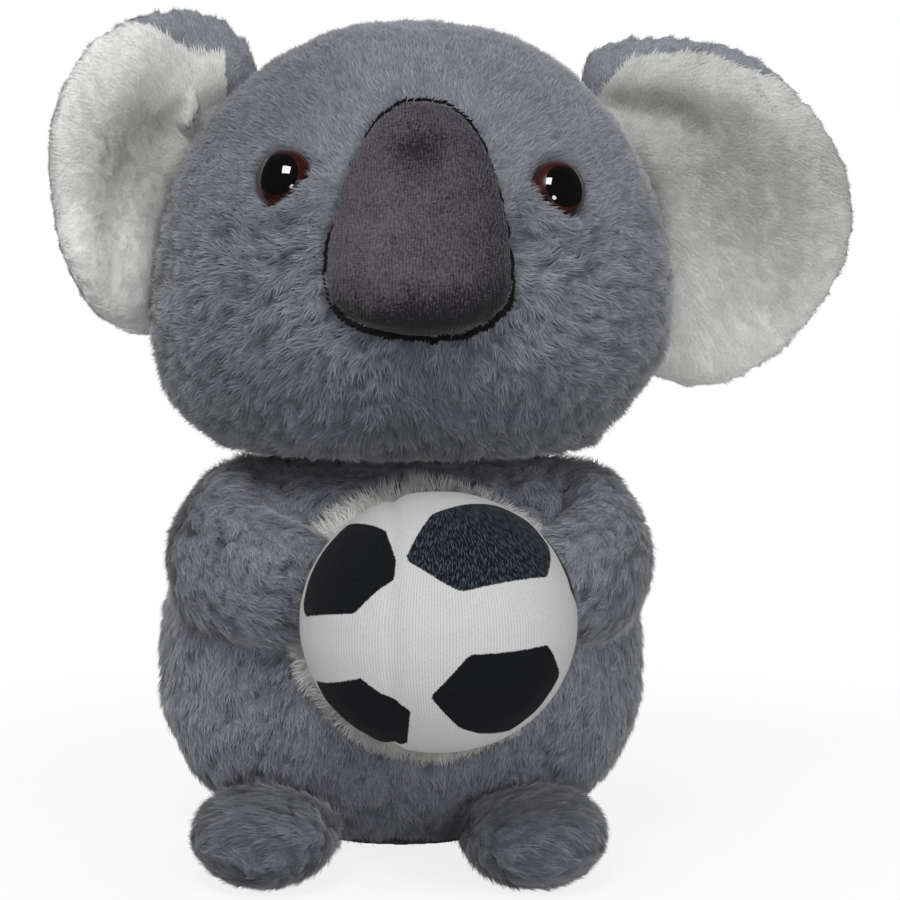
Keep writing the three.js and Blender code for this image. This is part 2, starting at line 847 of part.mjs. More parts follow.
const torso = makeTorso();
addPiece(koala, 'torso_cover', torso.cover, greyPlush);
addPiece(koala, 'torso_filling', torso.filling, fibre);
addPiece(koala, 'pellet_bag', torso.bag, bagCloth);
addPiece(koala, 'base_panel', torso.panel, greyPlush);
addPiece(koala, 'belly_patch', makePatch(), whitePlush);

const ball = stuffed(ballBody, ballMouth, ballWall);
addPiece(koala, 'ball_cover', ball.cover, ballKnit);
addPiece(koala, 'ball_filling', ball.filling, fibre);

const sides = [
  { name: 'left', side: -1, swing: earSwingLeft, twist: earTwistLeft },
  { name: 'right', side: 1, swing: earSwingRight, twist: earTwistRight },
];

for (const { name, side } of sides) {
  const foot = makeFoot(side);
  addPiece(koala, `foot_${name}_cover`, foot.cover, greyPlush);
  addPiece(koala, `foot_${name}_filling`, foot.filling, fibre);
  const armGroup = groupAt(koala, armHinge(side));
  const arm = makeArm(side);
  addPiece(armGroup, `arm_${name}_cover`, arm.cover, greyPlush);
  addPiece(armGroup, `arm_${name}_filling`, arm.filling, fibre);
}

const neck = { origin: new THREE.Vector3(0, 0, neckHeight), axis: upward };
const headGroup = groupAt(koala, neck);
const eyes = sides.map(({ name, side }) => ({ name, ...makeEye(side) }));
const head = stuffed(headBody, neckMouth);
const coverRooms = eyes.map((eye) => eye.coverRoom);
const fillingRooms = eyes.map((eye) => eye.fillingRoom);
addPiece(headGroup, 'head_cover', lessAll(head.cover, coverRooms), greyPlush);
addPiece(headGroup, 'head_filling', lessAll(head.filling, fillingRooms), fibre);

const nose = makeNose();
addPiece(headGroup, 'nose_pad', nose.pad, velour);
addPiece(headGroup, 'nose_stitching', nose.stitching, blackThread);

for (const eye of eyes) {
  addPiece(headGroup, `eye_${eye.name}_ring`, eye.ring, irisPlastic);
  addPiece(headGroup, `eye_${eye.name}_pupil`, eye.pupil, pupilPlastic);
  addPiece(headGroup, `eye_${eye.name}_washer`, eye.washer, washerPlastic);
}

for (const eared of sides) {
  const earGroup = groupAt(headGroup, earHinge(eared.side));
  const ear = makeEar(eared);
  addPiece(earGroup, `ear_${eared.name}_back`, ear.back, greyPlush);
  addPiece(earGroup, `ear_${eared.name}_lining`, ear.lining, whitePlush);
}

export default koala;
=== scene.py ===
"""The finished look of a stuffed koala that hugs a football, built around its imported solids.

Lengths held by the classes are in millimetres. The meshes and the nodes are in metres.
"""
import json
import logging
import math
from dataclasses import dataclass, field
from enum import Enum
from typing import Callable

import bmesh
import bpy
import numpy as np
from mathutils import Matrix, Vector, noise
from mathutils.bvhtree import BVHTree
from mathutils.geometry import convex_hull_2d


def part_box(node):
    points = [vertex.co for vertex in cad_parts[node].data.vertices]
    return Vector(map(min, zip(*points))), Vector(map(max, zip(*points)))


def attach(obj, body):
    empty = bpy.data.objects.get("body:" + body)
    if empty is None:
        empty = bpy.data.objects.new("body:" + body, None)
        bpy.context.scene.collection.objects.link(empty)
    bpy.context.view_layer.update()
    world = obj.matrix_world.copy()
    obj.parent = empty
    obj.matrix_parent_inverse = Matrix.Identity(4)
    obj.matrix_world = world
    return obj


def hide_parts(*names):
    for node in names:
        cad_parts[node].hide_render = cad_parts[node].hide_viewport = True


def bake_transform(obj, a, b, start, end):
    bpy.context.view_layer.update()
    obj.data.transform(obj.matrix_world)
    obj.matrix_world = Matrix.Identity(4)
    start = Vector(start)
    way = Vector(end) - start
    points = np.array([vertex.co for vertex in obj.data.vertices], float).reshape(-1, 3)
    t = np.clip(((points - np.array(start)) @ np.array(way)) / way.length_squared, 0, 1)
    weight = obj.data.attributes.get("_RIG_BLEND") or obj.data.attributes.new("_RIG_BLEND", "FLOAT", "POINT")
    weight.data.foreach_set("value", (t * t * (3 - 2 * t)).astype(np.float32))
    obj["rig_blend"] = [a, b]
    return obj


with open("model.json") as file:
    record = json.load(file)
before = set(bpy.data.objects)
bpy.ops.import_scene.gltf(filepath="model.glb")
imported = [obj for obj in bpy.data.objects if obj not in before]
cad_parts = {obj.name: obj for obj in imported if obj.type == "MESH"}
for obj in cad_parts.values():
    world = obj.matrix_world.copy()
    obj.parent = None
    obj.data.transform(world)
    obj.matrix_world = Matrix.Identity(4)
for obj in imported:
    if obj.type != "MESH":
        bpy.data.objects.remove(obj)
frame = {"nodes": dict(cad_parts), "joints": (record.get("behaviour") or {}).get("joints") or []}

log = logging.getLogger("koala")
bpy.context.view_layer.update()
MM = 0.001
UP = Vector((0.0, 0.0, 1.0))
VIEW = Vector((0.0, -0.9925, 0.1219))
WELD = 1e-6
MATH = "ShaderNodeMath"
VECTORS = "ShaderNodeVectorMath"
MIX = "ShaderNodeMix"
RAMP = "ShaderNodeValToRGB"
RANGE = "ShaderNodeMapRange"
NOISE = "ShaderNodeTexNoise"
SPLIT = "ShaderNodeSeparateXYZ"
ATTRIBUTE = "ShaderNodeAttribute"
STORE = "GeometryNodeStoreNamedAttribute"

Field = Callable[[Vector, Vector], float]


class Side(Enum):
    """A side of the toy, as the camera sees it."""

    LEFT = -1
    RIGHT = 1

    @property
    def word(self) -> str:
        """The side's name in the names of pieces."""
        return self.name.lower()


class Patch(Enum):
    """How a printed patch of the football has taken its ink."""

    SOLID = 0.0
    RUBBED = 0.5
    WORN = 1.0


def linear(code: str) -> tuple:
    """Turns an sRGB hex colour into the linear colour that shaders read.

    Args:
        code: the colour as #RRGGBB.
    Returns:
        Red, green, blue and alpha.
    """
    parts = [int(code[at:at + 2], 16) / 255 for at in (1, 3, 5)]
    lit = [((c + 0.055) / 1.055) ** 2.4 if c > 0.04045 else c / 12.92 for c in parts]
    return (*lit, 1.0)


def smooth(low: float, high: float, value: float) -> float:
    """Goes softly from 0 at low to 1 at high."""
    share = min(max((value - low) / (high - low), 0.0), 1.0)
    return share * share * (3 - 2 * share)


def bump(distance: float, width: float) -> float:
    """A soft hump that is 1 at no distance and next to nothing past twice its width."""
    return math.exp(-((distance / width) ** 2))


def mm(*parts: float) -> Vector:
    """A point given in millimetres."""
    return Vector(parts) * MM


def wave(point: Vector, size: float, seed: float = 0.0) -> float:
    """Smooth noise from -1 to 1 whose humps are about size millimetres wide."""
    return noise.noise(point / (size * MM) + Vector((seed, seed * 1.7, seed * 2.3)))


def turned(direction: Vector, axis: Vector, angle: float) -> Vector:
    """Turns a direction about an axis."""
    return Matrix.Rotation(angle, 3, axis) @ direction


def along_surface(direction: Vector, normal: Vector) -> Vector:
    """Lays a direction into a surface.

    Args:
        direction: the direction.
        normal: the surface's normal.
    Returns:
        The part of the direction that lies in the surface, as a unit vector.
    """
    flat = direction - normal * direction.dot(normal)
    if flat.length < 1e-6:
        flat = normal.orthogonal()
    return flat.normalized()


def find_socket(sockets: object, key: object = None) -> object:
    """Finds a socket of a node.

    Args:
        sockets: the node's inputs or outputs.
        key: its number or its name, or nothing for the first one that is shown.
    Returns:
        The socket; of several with the name, the first that is shown.
    """
    if isinstance(key, int):
        return sockets[key]
    shown = [one for one in sockets if one.enabled and key in (None, one.name)]
    return shown[0] if shown else sockets[key]


def out(node: object, name: str) -> object:
    """One output of a node, by its name."""
    return find_socket(node.outputs, name)


def add_node(tree: object, kind: str, inputs: object = (), stops: tuple = (),
             **settings: object) -> object:
    """Adds one node to a tree, sets it up and links it.

    Args:
        tree: the node tree.
        kind: the node's type name.
        inputs: what goes into the inputs, in order, or by their names or numbers. Each is
            a value, a hex colour, a socket, or a node that gives its first shown output.
        stops: the stops of a colour ramp, each with its place and its hex colour.
        settings: the node's own properties.
    Returns:
        The node.
    """
    node = tree.nodes.new(kind)
    for key, value in settings.items():
        setattr(node, key, value)
    for key, value in (inputs if isinstance(inputs, dict) else dict(enumerate(inputs))).items():
        socket = find_socket(node.inputs, key)
        if isinstance(value, bpy.types.Node):
            value = find_socket(value.outputs)
        if isinstance(value, bpy.types.NodeSocket):
            tree.links.new(value, socket)
        else:
            is_colour = isinstance(value, str) and value.startswith("#")
            socket.default_value = linear(value) if is_colour else value
    for at, (place, code) in enumerate(stops):
        element = node.color_ramp.elements[at]
        element.position, element.color = place, linear(code)
    return node


def start_material(name: str) -> tuple:
    """Starts a material with an empty tree.

    Args:
        name: its name.
    Returns:
        The material and its tree.
    """
    material = bpy.data.materials.new(name)
    material.use_nodes = True
    material.node_tree.nodes.clear()
    return material, material.node_tree


def add_modifier(obj: bpy.types.Object, kind: str, **settings: object) -> bpy.types.Modifier:
    """Adds one modifier to an object and sets it up.

    Args:
        obj: the object.
        kind: the modifier's type name.
        settings: its properties.
    Returns:
        The modifier.
    """
    modifier = obj.modifiers.new(kind.lower(), kind)
    for key, value in settings.items():
        setattr(modifier, key, value)
    return modifier


def store_values(mesh: bpy.types.Mesh, name: str, values: list, domain: str = "POINT",
                 width: int = 1) -> None:
    """Stores a painted attribute on a mesh.

    Args:
        mesh: the mesh.
        name: the attribute's name.
        values: its numbers, one after another.
        domain: what carries them, the points or the faces.
        width: how many numbers each of those carries, 1 or 3.
    """
    kind, key = ("FLOAT", "value") if width == 1 else ("FLOAT_VECTOR", "vector")
    mesh.attributes.new(name, kind, domain).data.foreach_set(key, values)


def link_object(name: str, mesh: bpy.types.Mesh) -> bpy.types.Object:
    """Makes an object from a mesh and puts it into the scene.

    Args:
        name: its name.
        mesh: its mesh.
    Returns:
        The object.
    """
    obj = bpy.data.objects.new(name, mesh)
    bpy.context.scene.collection.objects.link(obj)
    return obj


def settle_modifiers(obj: bpy.types.Object) -> bpy.types.Object:
    """Applies all the modifiers of an object to its mesh.

    Args:
        obj: the object.
    Returns:
        The same object, with its new mesh.
    """
    graph = bpy.context.evaluated_depsgraph_get()
    mesh = bpy.data.meshes.new_from_object(obj.evaluated_get(graph), depsgraph=graph)
    obj.modifiers.clear()
    old, obj.data = obj.data, mesh
    bpy.data.meshes.remove(old)
    return obj


def to_mesh(bm: bmesh.types.BMesh, name: str) -> bpy.types.Mesh:
    """Turns a finished bmesh into a smooth-shaded mesh.

    Args:
        bm: the bmesh, which is freed.
        name: the mesh's name.
    Returns:
        The mesh.
    """
    for face in bm.faces:
        face.smooth = True
    mesh = bpy.data.meshes.new(name)
    bm.to_mesh(mesh)
    bm.free()
    return mesh


def solid_copy(node: str) -> bmesh.types.BMesh:
    """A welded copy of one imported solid.

    Args:
        node: the name of the solid.
    Returns:
        A bmesh of it.
    """
    bm = bmesh.new()
    bm.from_mesh(frame["nodes"][node].data)
    bmesh.ops.remove_doubles(bm, verts=bm.verts, dist=WELD)
    return bm


def tree_of(nodes: tuple) -> BVHTree:
    """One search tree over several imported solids.

    Args:
        nodes: the names of the solids.
    Returns:
        The tree.
    """
    points, faces = [], []
    for node in nodes:
        mesh = frame["nodes"][node].data
        first = len(points)
        points.extend(v.co.copy() for v in mesh.vertices)
        faces.extend([first + at for at in p.vertices] for p in mesh.polygons)
    return BVHTree.FromPolygons(points, faces)


def move_points(mesh: bpy.types.Mesh, amount: Field) -> None:
    """Moves each point of a mesh along its normal.

    Args:
        mesh: the mesh.
        amount: gives the millimetres for a point and its normal.
    """
    moves = [v.normal * (amount(v.co, v.normal) * MM) for v in mesh.vertices]
    for vertex, move in zip(mesh.vertices, moves):
        vertex.co += move
    mesh.update()


def line_distance(point: Vector, path: list) -> float:
    """Measures how far a point lies from a path.

    Args:
        point: the point.
        path: the path's points, in order.
    Returns:
        The distance in millimetres.
    """
    best = 1e9
    for start, end in zip(path, path[1:]):
        step = end - start
        share = min(max((point - start).dot(step) / step.length_squared, 0.0), 1.0)
        best = min(best, (point - start - step * share).length)
    return best / MM


def finish_piece(obj: bpy.types.Object, material: bpy.types.Material, body: str,
                 replaced: tuple = (), bend: tuple = ()) -> bpy.types.Object:
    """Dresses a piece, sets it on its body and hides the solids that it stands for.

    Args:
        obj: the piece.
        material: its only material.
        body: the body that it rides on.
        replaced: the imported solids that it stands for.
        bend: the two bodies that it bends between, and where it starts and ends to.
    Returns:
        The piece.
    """
    obj.data.materials.clear()
    obj.data.materials.append(material)
    if bend:
        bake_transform(obj, *bend)
    else:
        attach(obj, body)
    if replaced:
        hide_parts(*replaced)
    log.info("%s: %d faces", obj.name, len(obj.data.polygons))
    return obj


@dataclass(frozen=True)
class Dye:
    """The dye of one plush, from its darkest to its lightest locks, root and tip."""

    roots: tuple
    tips: tuple

    def shade(self, tree: object, tone: object, rise: object) -> object:
        """Mixes the colour of a lock, or of the bed of locks.

        Args:
            tree: the material's tree.
            tone: what gives how light the lock is, from 0 to 1.
            rise: what gives how high on the lock a point lies, from 0 to 1.
        Returns:
            The node with the colour.
        """
        root, tip = (add_node(tree, RAMP, [tone], ((0.0, ends[0]), (1.0, ends[1])))
                     for ends in (self.roots, self.tips))
        return add_node(tree, MIX, {"Factor": rise, "A": root, "B": tip}, data_type="RGBA")


@dataclass(frozen=True)
class Finish:
    """A real material, made of one shader. Each kind of finish says what feeds it."""

    name: str

    def make(self) -> bpy.types.Material:
        """Makes the material.

        Returns:
            The material.
        """
        material, tree = start_material(self.name)
        shader = add_node(tree, "ShaderNodeBsdfPrincipled", self.surface(tree))
        add_node(tree, "ShaderNodeOutputMaterial", {"Surface": shader})
        return material

    def surface(self, tree: object) -> dict:
        """What goes into each input of the shader."""
        return {}


@dataclass(frozen=True)
class PileFinish(Finish):
    """Rabbit-fur acrylic plush: dark in the roots, frosted and soft at the tips."""

    dye: Dye
    sheen: float = 0.3

    def surface(self, tree: object) -> dict:
        """A lock's own map has its tone across and its length upwards.

        Args:
            tree: the material's tree.
        Returns:
            What feeds each input of the shader, by the input's name.
        """
        spot = add_node(tree, "ShaderNodeUVMap", uv_map="OFBake")
        parts = add_node(tree, SPLIT, [spot])
        rise = add_node(tree, RANGE, {"Value": out(parts, "Y"), "From Min": 0.0,
                                      "From Max": 0.85}, interpolation_type="SMOOTHSTEP")
        return {"Base Color": self.dye.shade(tree, out(parts, "X"), rise),
                "Roughness": 0.9, "Sheen Weight": self.sheen,
                "Sheen Roughness": 0.5, "Specular IOR Level": 0.1}


@dataclass(frozen=True)
class BedFinish(Finish):
    """The bed of the plush, where its locks stand closest: soft clumps, painted darker as the shade deep in
    the pile and in the partings.
    """

    dye: Dye
    other: Dye
    grain: float = 0.7

    def surface(self, tree: object) -> dict:
        """Made from the painted tone and the fine grain of the lock ends.

        Args:
            tree: the material's tree.
        Returns:
            What feeds each input of the shader, by the input's name.
        """
        place = add_node(tree, "ShaderNodeTexCoord")
        tone, lining = (out(add_node(tree, ATTRIBUTE, attribute_name=name), "Fac")
                        for name in ("tone", "white"))
        grain = add_node(tree, NOISE, {"Vector": out(place, "Object"), "Detail": 3.0,
                                       "Scale": 1 / (self.grain * MM)})
        # Painted shade deep in the pile: the bed's tone is lowered and kept near the roots' colour.
        lower = add_node(tree, MATH, [tone, 0.15], operation="SUBTRACT")
        shown = add_node(tree, MATH, [grain, 0.3, lower], operation="MULTIPLY_ADD")
        rise = add_node(tree, MATH, [grain, 0.75], operation="MULTIPLY")
        shade = add_node(tree, MIX, {"Factor": lining, "A": self.dye.shade(tree, shown, rise),
                                     "B": self.other.shade(tree, shown, rise)},
                         data_type="RGBA")
        raised = add_node(tree, "ShaderNodeBump", {"Height": grain, "Strength": 0.6,
                                                   "Distance": 0.3 * MM})
        return {"Base Color": shade, "Normal": raised, "Roughness": 0.95,
                "Sheen Weight": 0.2, "Sheen Roughness": 0.5,
                "Specular IOR Level": 0.1}


@dataclass(frozen=True)
class VelourFinish(Finish):
    """Polyester velour of the nose: a napped knit whose wales show as fine upright ribs."""

    name: str = "polyester_velour_napped"
    low: str = "#1a181b"
    high: str = "#5a555a"
    wale: float = 0.9
    course: float = 0.8
    drift: float = 9.0
    fuzz: float = 0.9
    nap: float = 6.0

    def surface(self, tree: object) -> dict:
        """Upright ribs, crossed by faint courses, with a soft clouded nap and the painted light and shade of
        the nose's curve.

        Args:
            tree: the material's tree.
        Returns:
            What feeds each input of the shader, by the input's name.
        """
        place = out(add_node(tree, "ShaderNodeTexCoord"), "Object")
        drift, fuzz, nap = (add_node(tree, NOISE, {"Vector": place, "Detail": 2.0,
                                                   "Scale": 1 / (size * MM)})
                            for size in (self.drift, self.fuzz, self.nap))
        parts = add_node(tree, SPLIT, [place])
        shift = add_node(tree, MATH, [drift, 4.5 * MM], operation="MULTIPLY")
        slope = add_node(tree, MATH, [out(parts, "X"), -0.25, out(parts, "Z")],
                         operation="MULTIPLY_ADD")
        ribs = self.stripes(tree, out(parts, "X"), shift, self.wale)
        rows = self.stripes(tree, slope, shift, self.course)
        ribbed = add_node(tree, MATH, [ribs, 0.6, 0.4], operation="MULTIPLY_ADD")
        crossed = add_node(tree, MATH, [rows, 0.35, 0.65], operation="MULTIPLY_ADD")
        knit = add_node(tree, MATH, [ribbed, crossed], operation="MULTIPLY")
        fine = add_node(tree, MATH, [fuzz, 1.0], operation="MULTIPLY")
        tone = add_node(tree, MATH, [knit, 0.36, fine], operation="MULTIPLY_ADD")
        tone = add_node(tree, MATH, [nap, 0.4, tone], operation="MULTIPLY_ADD")
        # Painted light and shade of the nose's curve: lighter at the upper left, darker low down and to the
        # right.
        brushed = out(add_node(tree, ATTRIBUTE, attribute_name="brushed"), "Fac")
        depth = add_node(tree, MATH, [brushed, -0.72], operation="ADD")
        tone = add_node(tree, MATH, [tone, depth], operation="ADD")
        shade = add_node(tree, RAMP, [tone], ((0.1, self.low), (0.9, self.high)))
        height = add_node(tree, MATH, [fuzz, 0.5, knit], operation="MULTIPLY_ADD")
        raised = add_node(tree, "ShaderNodeBump", {"Height": height, "Strength": 0.8,
                                                   "Distance": 0.25 * MM})
        return {"Base Color": shade, "Normal": raised, "Roughness": 0.85,
                "Sheen Weight": 0.16, "Sheen Roughness": 0.4,
                "Specular IOR Level": 0.1}

    def stripes(self, tree: object, value: object, shift: object, width: float) -> object:
        """Draws soft stripes, from 0 to 1.

        Args:
            tree: the material's tree.
            value: what the stripes run across, in metres.
            shift: what bends them.
            width: how wide one row of the knit is, in millimetres.
        Returns:
            The node with the stripes.
        """
        moved = add_node(tree, MATH, [value, shift], operation="ADD")
        turn = add_node(tree, MATH, [moved, math.tau / (width * MM)], operation="MULTIPLY")
        sine = add_node(tree, MATH, [turn], operation="SINE")
        return add_node(tree, MATH, [sine, 0.5, 0.5], operation="MULTIPLY_ADD")


@dataclass(frozen=True)
class PrintedKnitFinish(Finish):
    """Brushed knit of the ball with printed patches: ribbed, white, inked nearly black."""

    name: str = "brushed_knit_screen_printed"
    white: str = "#acacac"
    shade: str = "#9b9b9a"
    ink: str = "#0b0c0f"
    ink_light: str = "#14161a"
    fleck: str = "#46505a"
    rib: float = 0.9
    fuzz: float = 0.7
    chip: float = 0.5

    def surface(self, tree: object) -> dict:
        """The ball's attributes say where the ink is, and how worn.

        Args:
            tree: the material's tree.
        Returns:
            What feeds each input of the shader, by the input's name.
        """
        weave = out(add_node(tree, ATTRIBUTE, attribute_name="knit"), "Vector")
        parts = add_node(tree, SPLIT, [weave])
        fine = add_node(tree, NOISE, {"Vector": weave, "Detail": 3.0,
                                      "Scale": 1 / (self.fuzz * MM)})
        turn = add_node(tree, MATH, [out(parts, "X"), math.tau / (self.rib * MM)],
                        operation="MULTIPLY")
        sine = add_node(tree, MATH, [turn], operation="SINE")
        ribs = add_node(tree, MATH, [sine, 0.5, 0.5], operation="MULTIPLY_ADD")
        grain = add_node(tree, MATH, [fine, 0.65], operation="MULTIPLY")
        body = add_node(tree, MATH, [ribs, 0.35, grain], operation="MULTIPLY_ADD")
        cloth = add_node(tree, RAMP, [body], ((0.25, self.shade), (0.6, self.white)))
        shade = add_node(tree, MIX, {"Factor": self.edge(tree, fine), "A": cloth,
                                     "B": self.inked(tree, weave, fine)}, data_type="RGBA")
        raised = add_node(tree, "ShaderNodeBump", {"Height": body, "Strength": 0.35,
                                                   "Distance": 0.12 * MM})
        return {"Base Color": shade, "Normal": raised, "Roughness": 0.95,
                "Sheen Weight": 0.03, "Sheen Roughness": 0.5,
                "Specular IOR Level": 0.08}

    def edge(self, tree: object, fine: object) -> object:
        """Where the ink is, with an edge as ragged as the knit.

        Args:
            tree: the material's tree.
            fine: the grain of the knit.
        Returns:
            The node that gives 1 where there is ink.
        """
        reach = out(add_node(tree, ATTRIBUTE, attribute_name="ink"), "Fac")
        ragged = add_node(tree, MATH, [fine, 0.9, reach], operation="MULTIPLY_ADD")
        return add_node(tree, RANGE, {"Value": ragged, "From Min": 0.3, "From Max": 0.6})

    def inked(self, tree: object, weave: object, fine: object) -> object:
        """The ink's colour, with slanting pale flecks where it is worn.

        Args:
            tree: the material's tree.
            weave: the run of the knit.
            fine: its grain.
        Returns:
            The node with the colour.
        """
        slant = add_node(tree, "ShaderNodeMapping", {"Vector": weave, "Scale": (1.0, 0.36, 1.0),
                                                     "Rotation": (0.0, 0.0, math.radians(-24))})
        chips = add_node(tree, NOISE, {"Vector": slant, "Detail": 1.0,
                                       "Scale": 1 / (self.chip * MM)})
        worn = out(add_node(tree, ATTRIBUTE, attribute_name="worn"), "Fac")
        need = add_node(tree, MATH, [worn, -0.46, 0.95], operation="MULTIPLY_ADD")
        past = add_node(tree, MATH, [need, 0.16], operation="ADD")
        bare = add_node(tree, RANGE, {"Value": chips, "From Min": need, "From Max": past,
                                      "To Max": 0.65})
        base = add_node(tree, RAMP, [fine], ((0.3, self.ink), (0.75, self.ink_light)))
        return add_node(tree, MIX, {"Factor": bare, "A": base, "B": self.fleck},
                        data_type="RGBA")


@dataclass(frozen=True)
class MouldedFinish(Finish):
    """Injection-moulded ABS, tumbled to a gloss: even, with the light caught whole."""

    colour: str
    deep: str
    roughness: float
    gloss: float = 0.7
    cloud: float = 4.0

    def surface(self, tree: object) -> dict:
        """One colour, with a faint cloud in it and in the gloss.

        Args:
            tree: the material's tree.
        Returns:
            What feeds each input of the shader, by the input's name.
        """
        place = add_node(tree, "ShaderNodeTexCoord")
        cloud = add_node(tree, NOISE, {"Vector": out(place, "Object"),
                                       "Scale": 1 / (self.cloud * MM)})
        shade = add_node(tree, RAMP, [cloud], ((0.35, self.deep), (0.65, self.colour)))
        rough = add_node(tree, RANGE, {"Value": cloud, "To Min": self.roughness,
                                       "To Max": self.roughness * 1.6})
        return {"Base Color": shade, "Roughness": rough, "IOR": 1.54,
                "Coat Weight": self.gloss, "Coat Roughness": 0.02}


@dataclass(frozen=True)
class ThreadFinish(Finish):
    """Spun polyester sewing thread: nearly black, matt, with its twist in the light."""

    name: str = "spun_polyester_thread"
    dark: str = "#020203"
    light: str = "#0b0b0d"
    ply: float = 0.3

    def surface(self, tree: object) -> dict:
        """One dark colour, with the fibres' uneven grain.

        Args:
            tree: the material's tree.
        Returns:
            What feeds each input of the shader, by the input's name.
        """
        place = add_node(tree, "ShaderNodeTexCoord")
        twist = add_node(tree, NOISE, {"Vector": out(place, "Object"), "Detail": 2.0,
                                       "Scale": 1 / (self.ply * MM)})
        shade = add_node(tree, RAMP, [twist], ((0.35, self.dark), (0.7, self.light)))
        raised = add_node(tree, "ShaderNodeBump", {"Height": twist, "Strength": 0.4,
                                                   "Distance": 0.1 * MM})
        return {"Base Color": shade, "Normal": raised, "Roughness": 0.7,
                "Sheen Weight": 0.05, "Specular IOR Level": 0.15}


GREY = Dye(("#484a50", "#64666e"), ("#5a5d64", "#a0a2ab"))
WHITE = Dye(("#8a8a87", "#c8c8c6"), ("#9c9c99", "#f0f0ee"))
GREY_PILE = PileFinish("grey_plush_pile", GREY)
WHITE_PILE = PileFinish("white_plush_pile", WHITE, 0.2)
GREY_BED = BedFinish("grey_plush_bed", GREY, WHITE)
WHITE_BED = BedFinish("white_plush_bed", WHITE, WHITE)
MATERIALS: dict = {}


def dressed(finish: object) -> bpy.types.Material:
    """The material of a finish, made once."""
    if finish not in MATERIALS:
        MATERIALS[finish] = finish.make()
    return MATERIALS[finish]


class Lock(Enum):
    """The shapes of a lock of fibres."""

    STRAIGHT = "straight"
    BENT = "bent"


LOCKS: dict = {}
PAINTED = ("comb", "pile", "lean", "thick", "region", "fluff", "near", "cell", "pull",
           "rise", "up", "around")


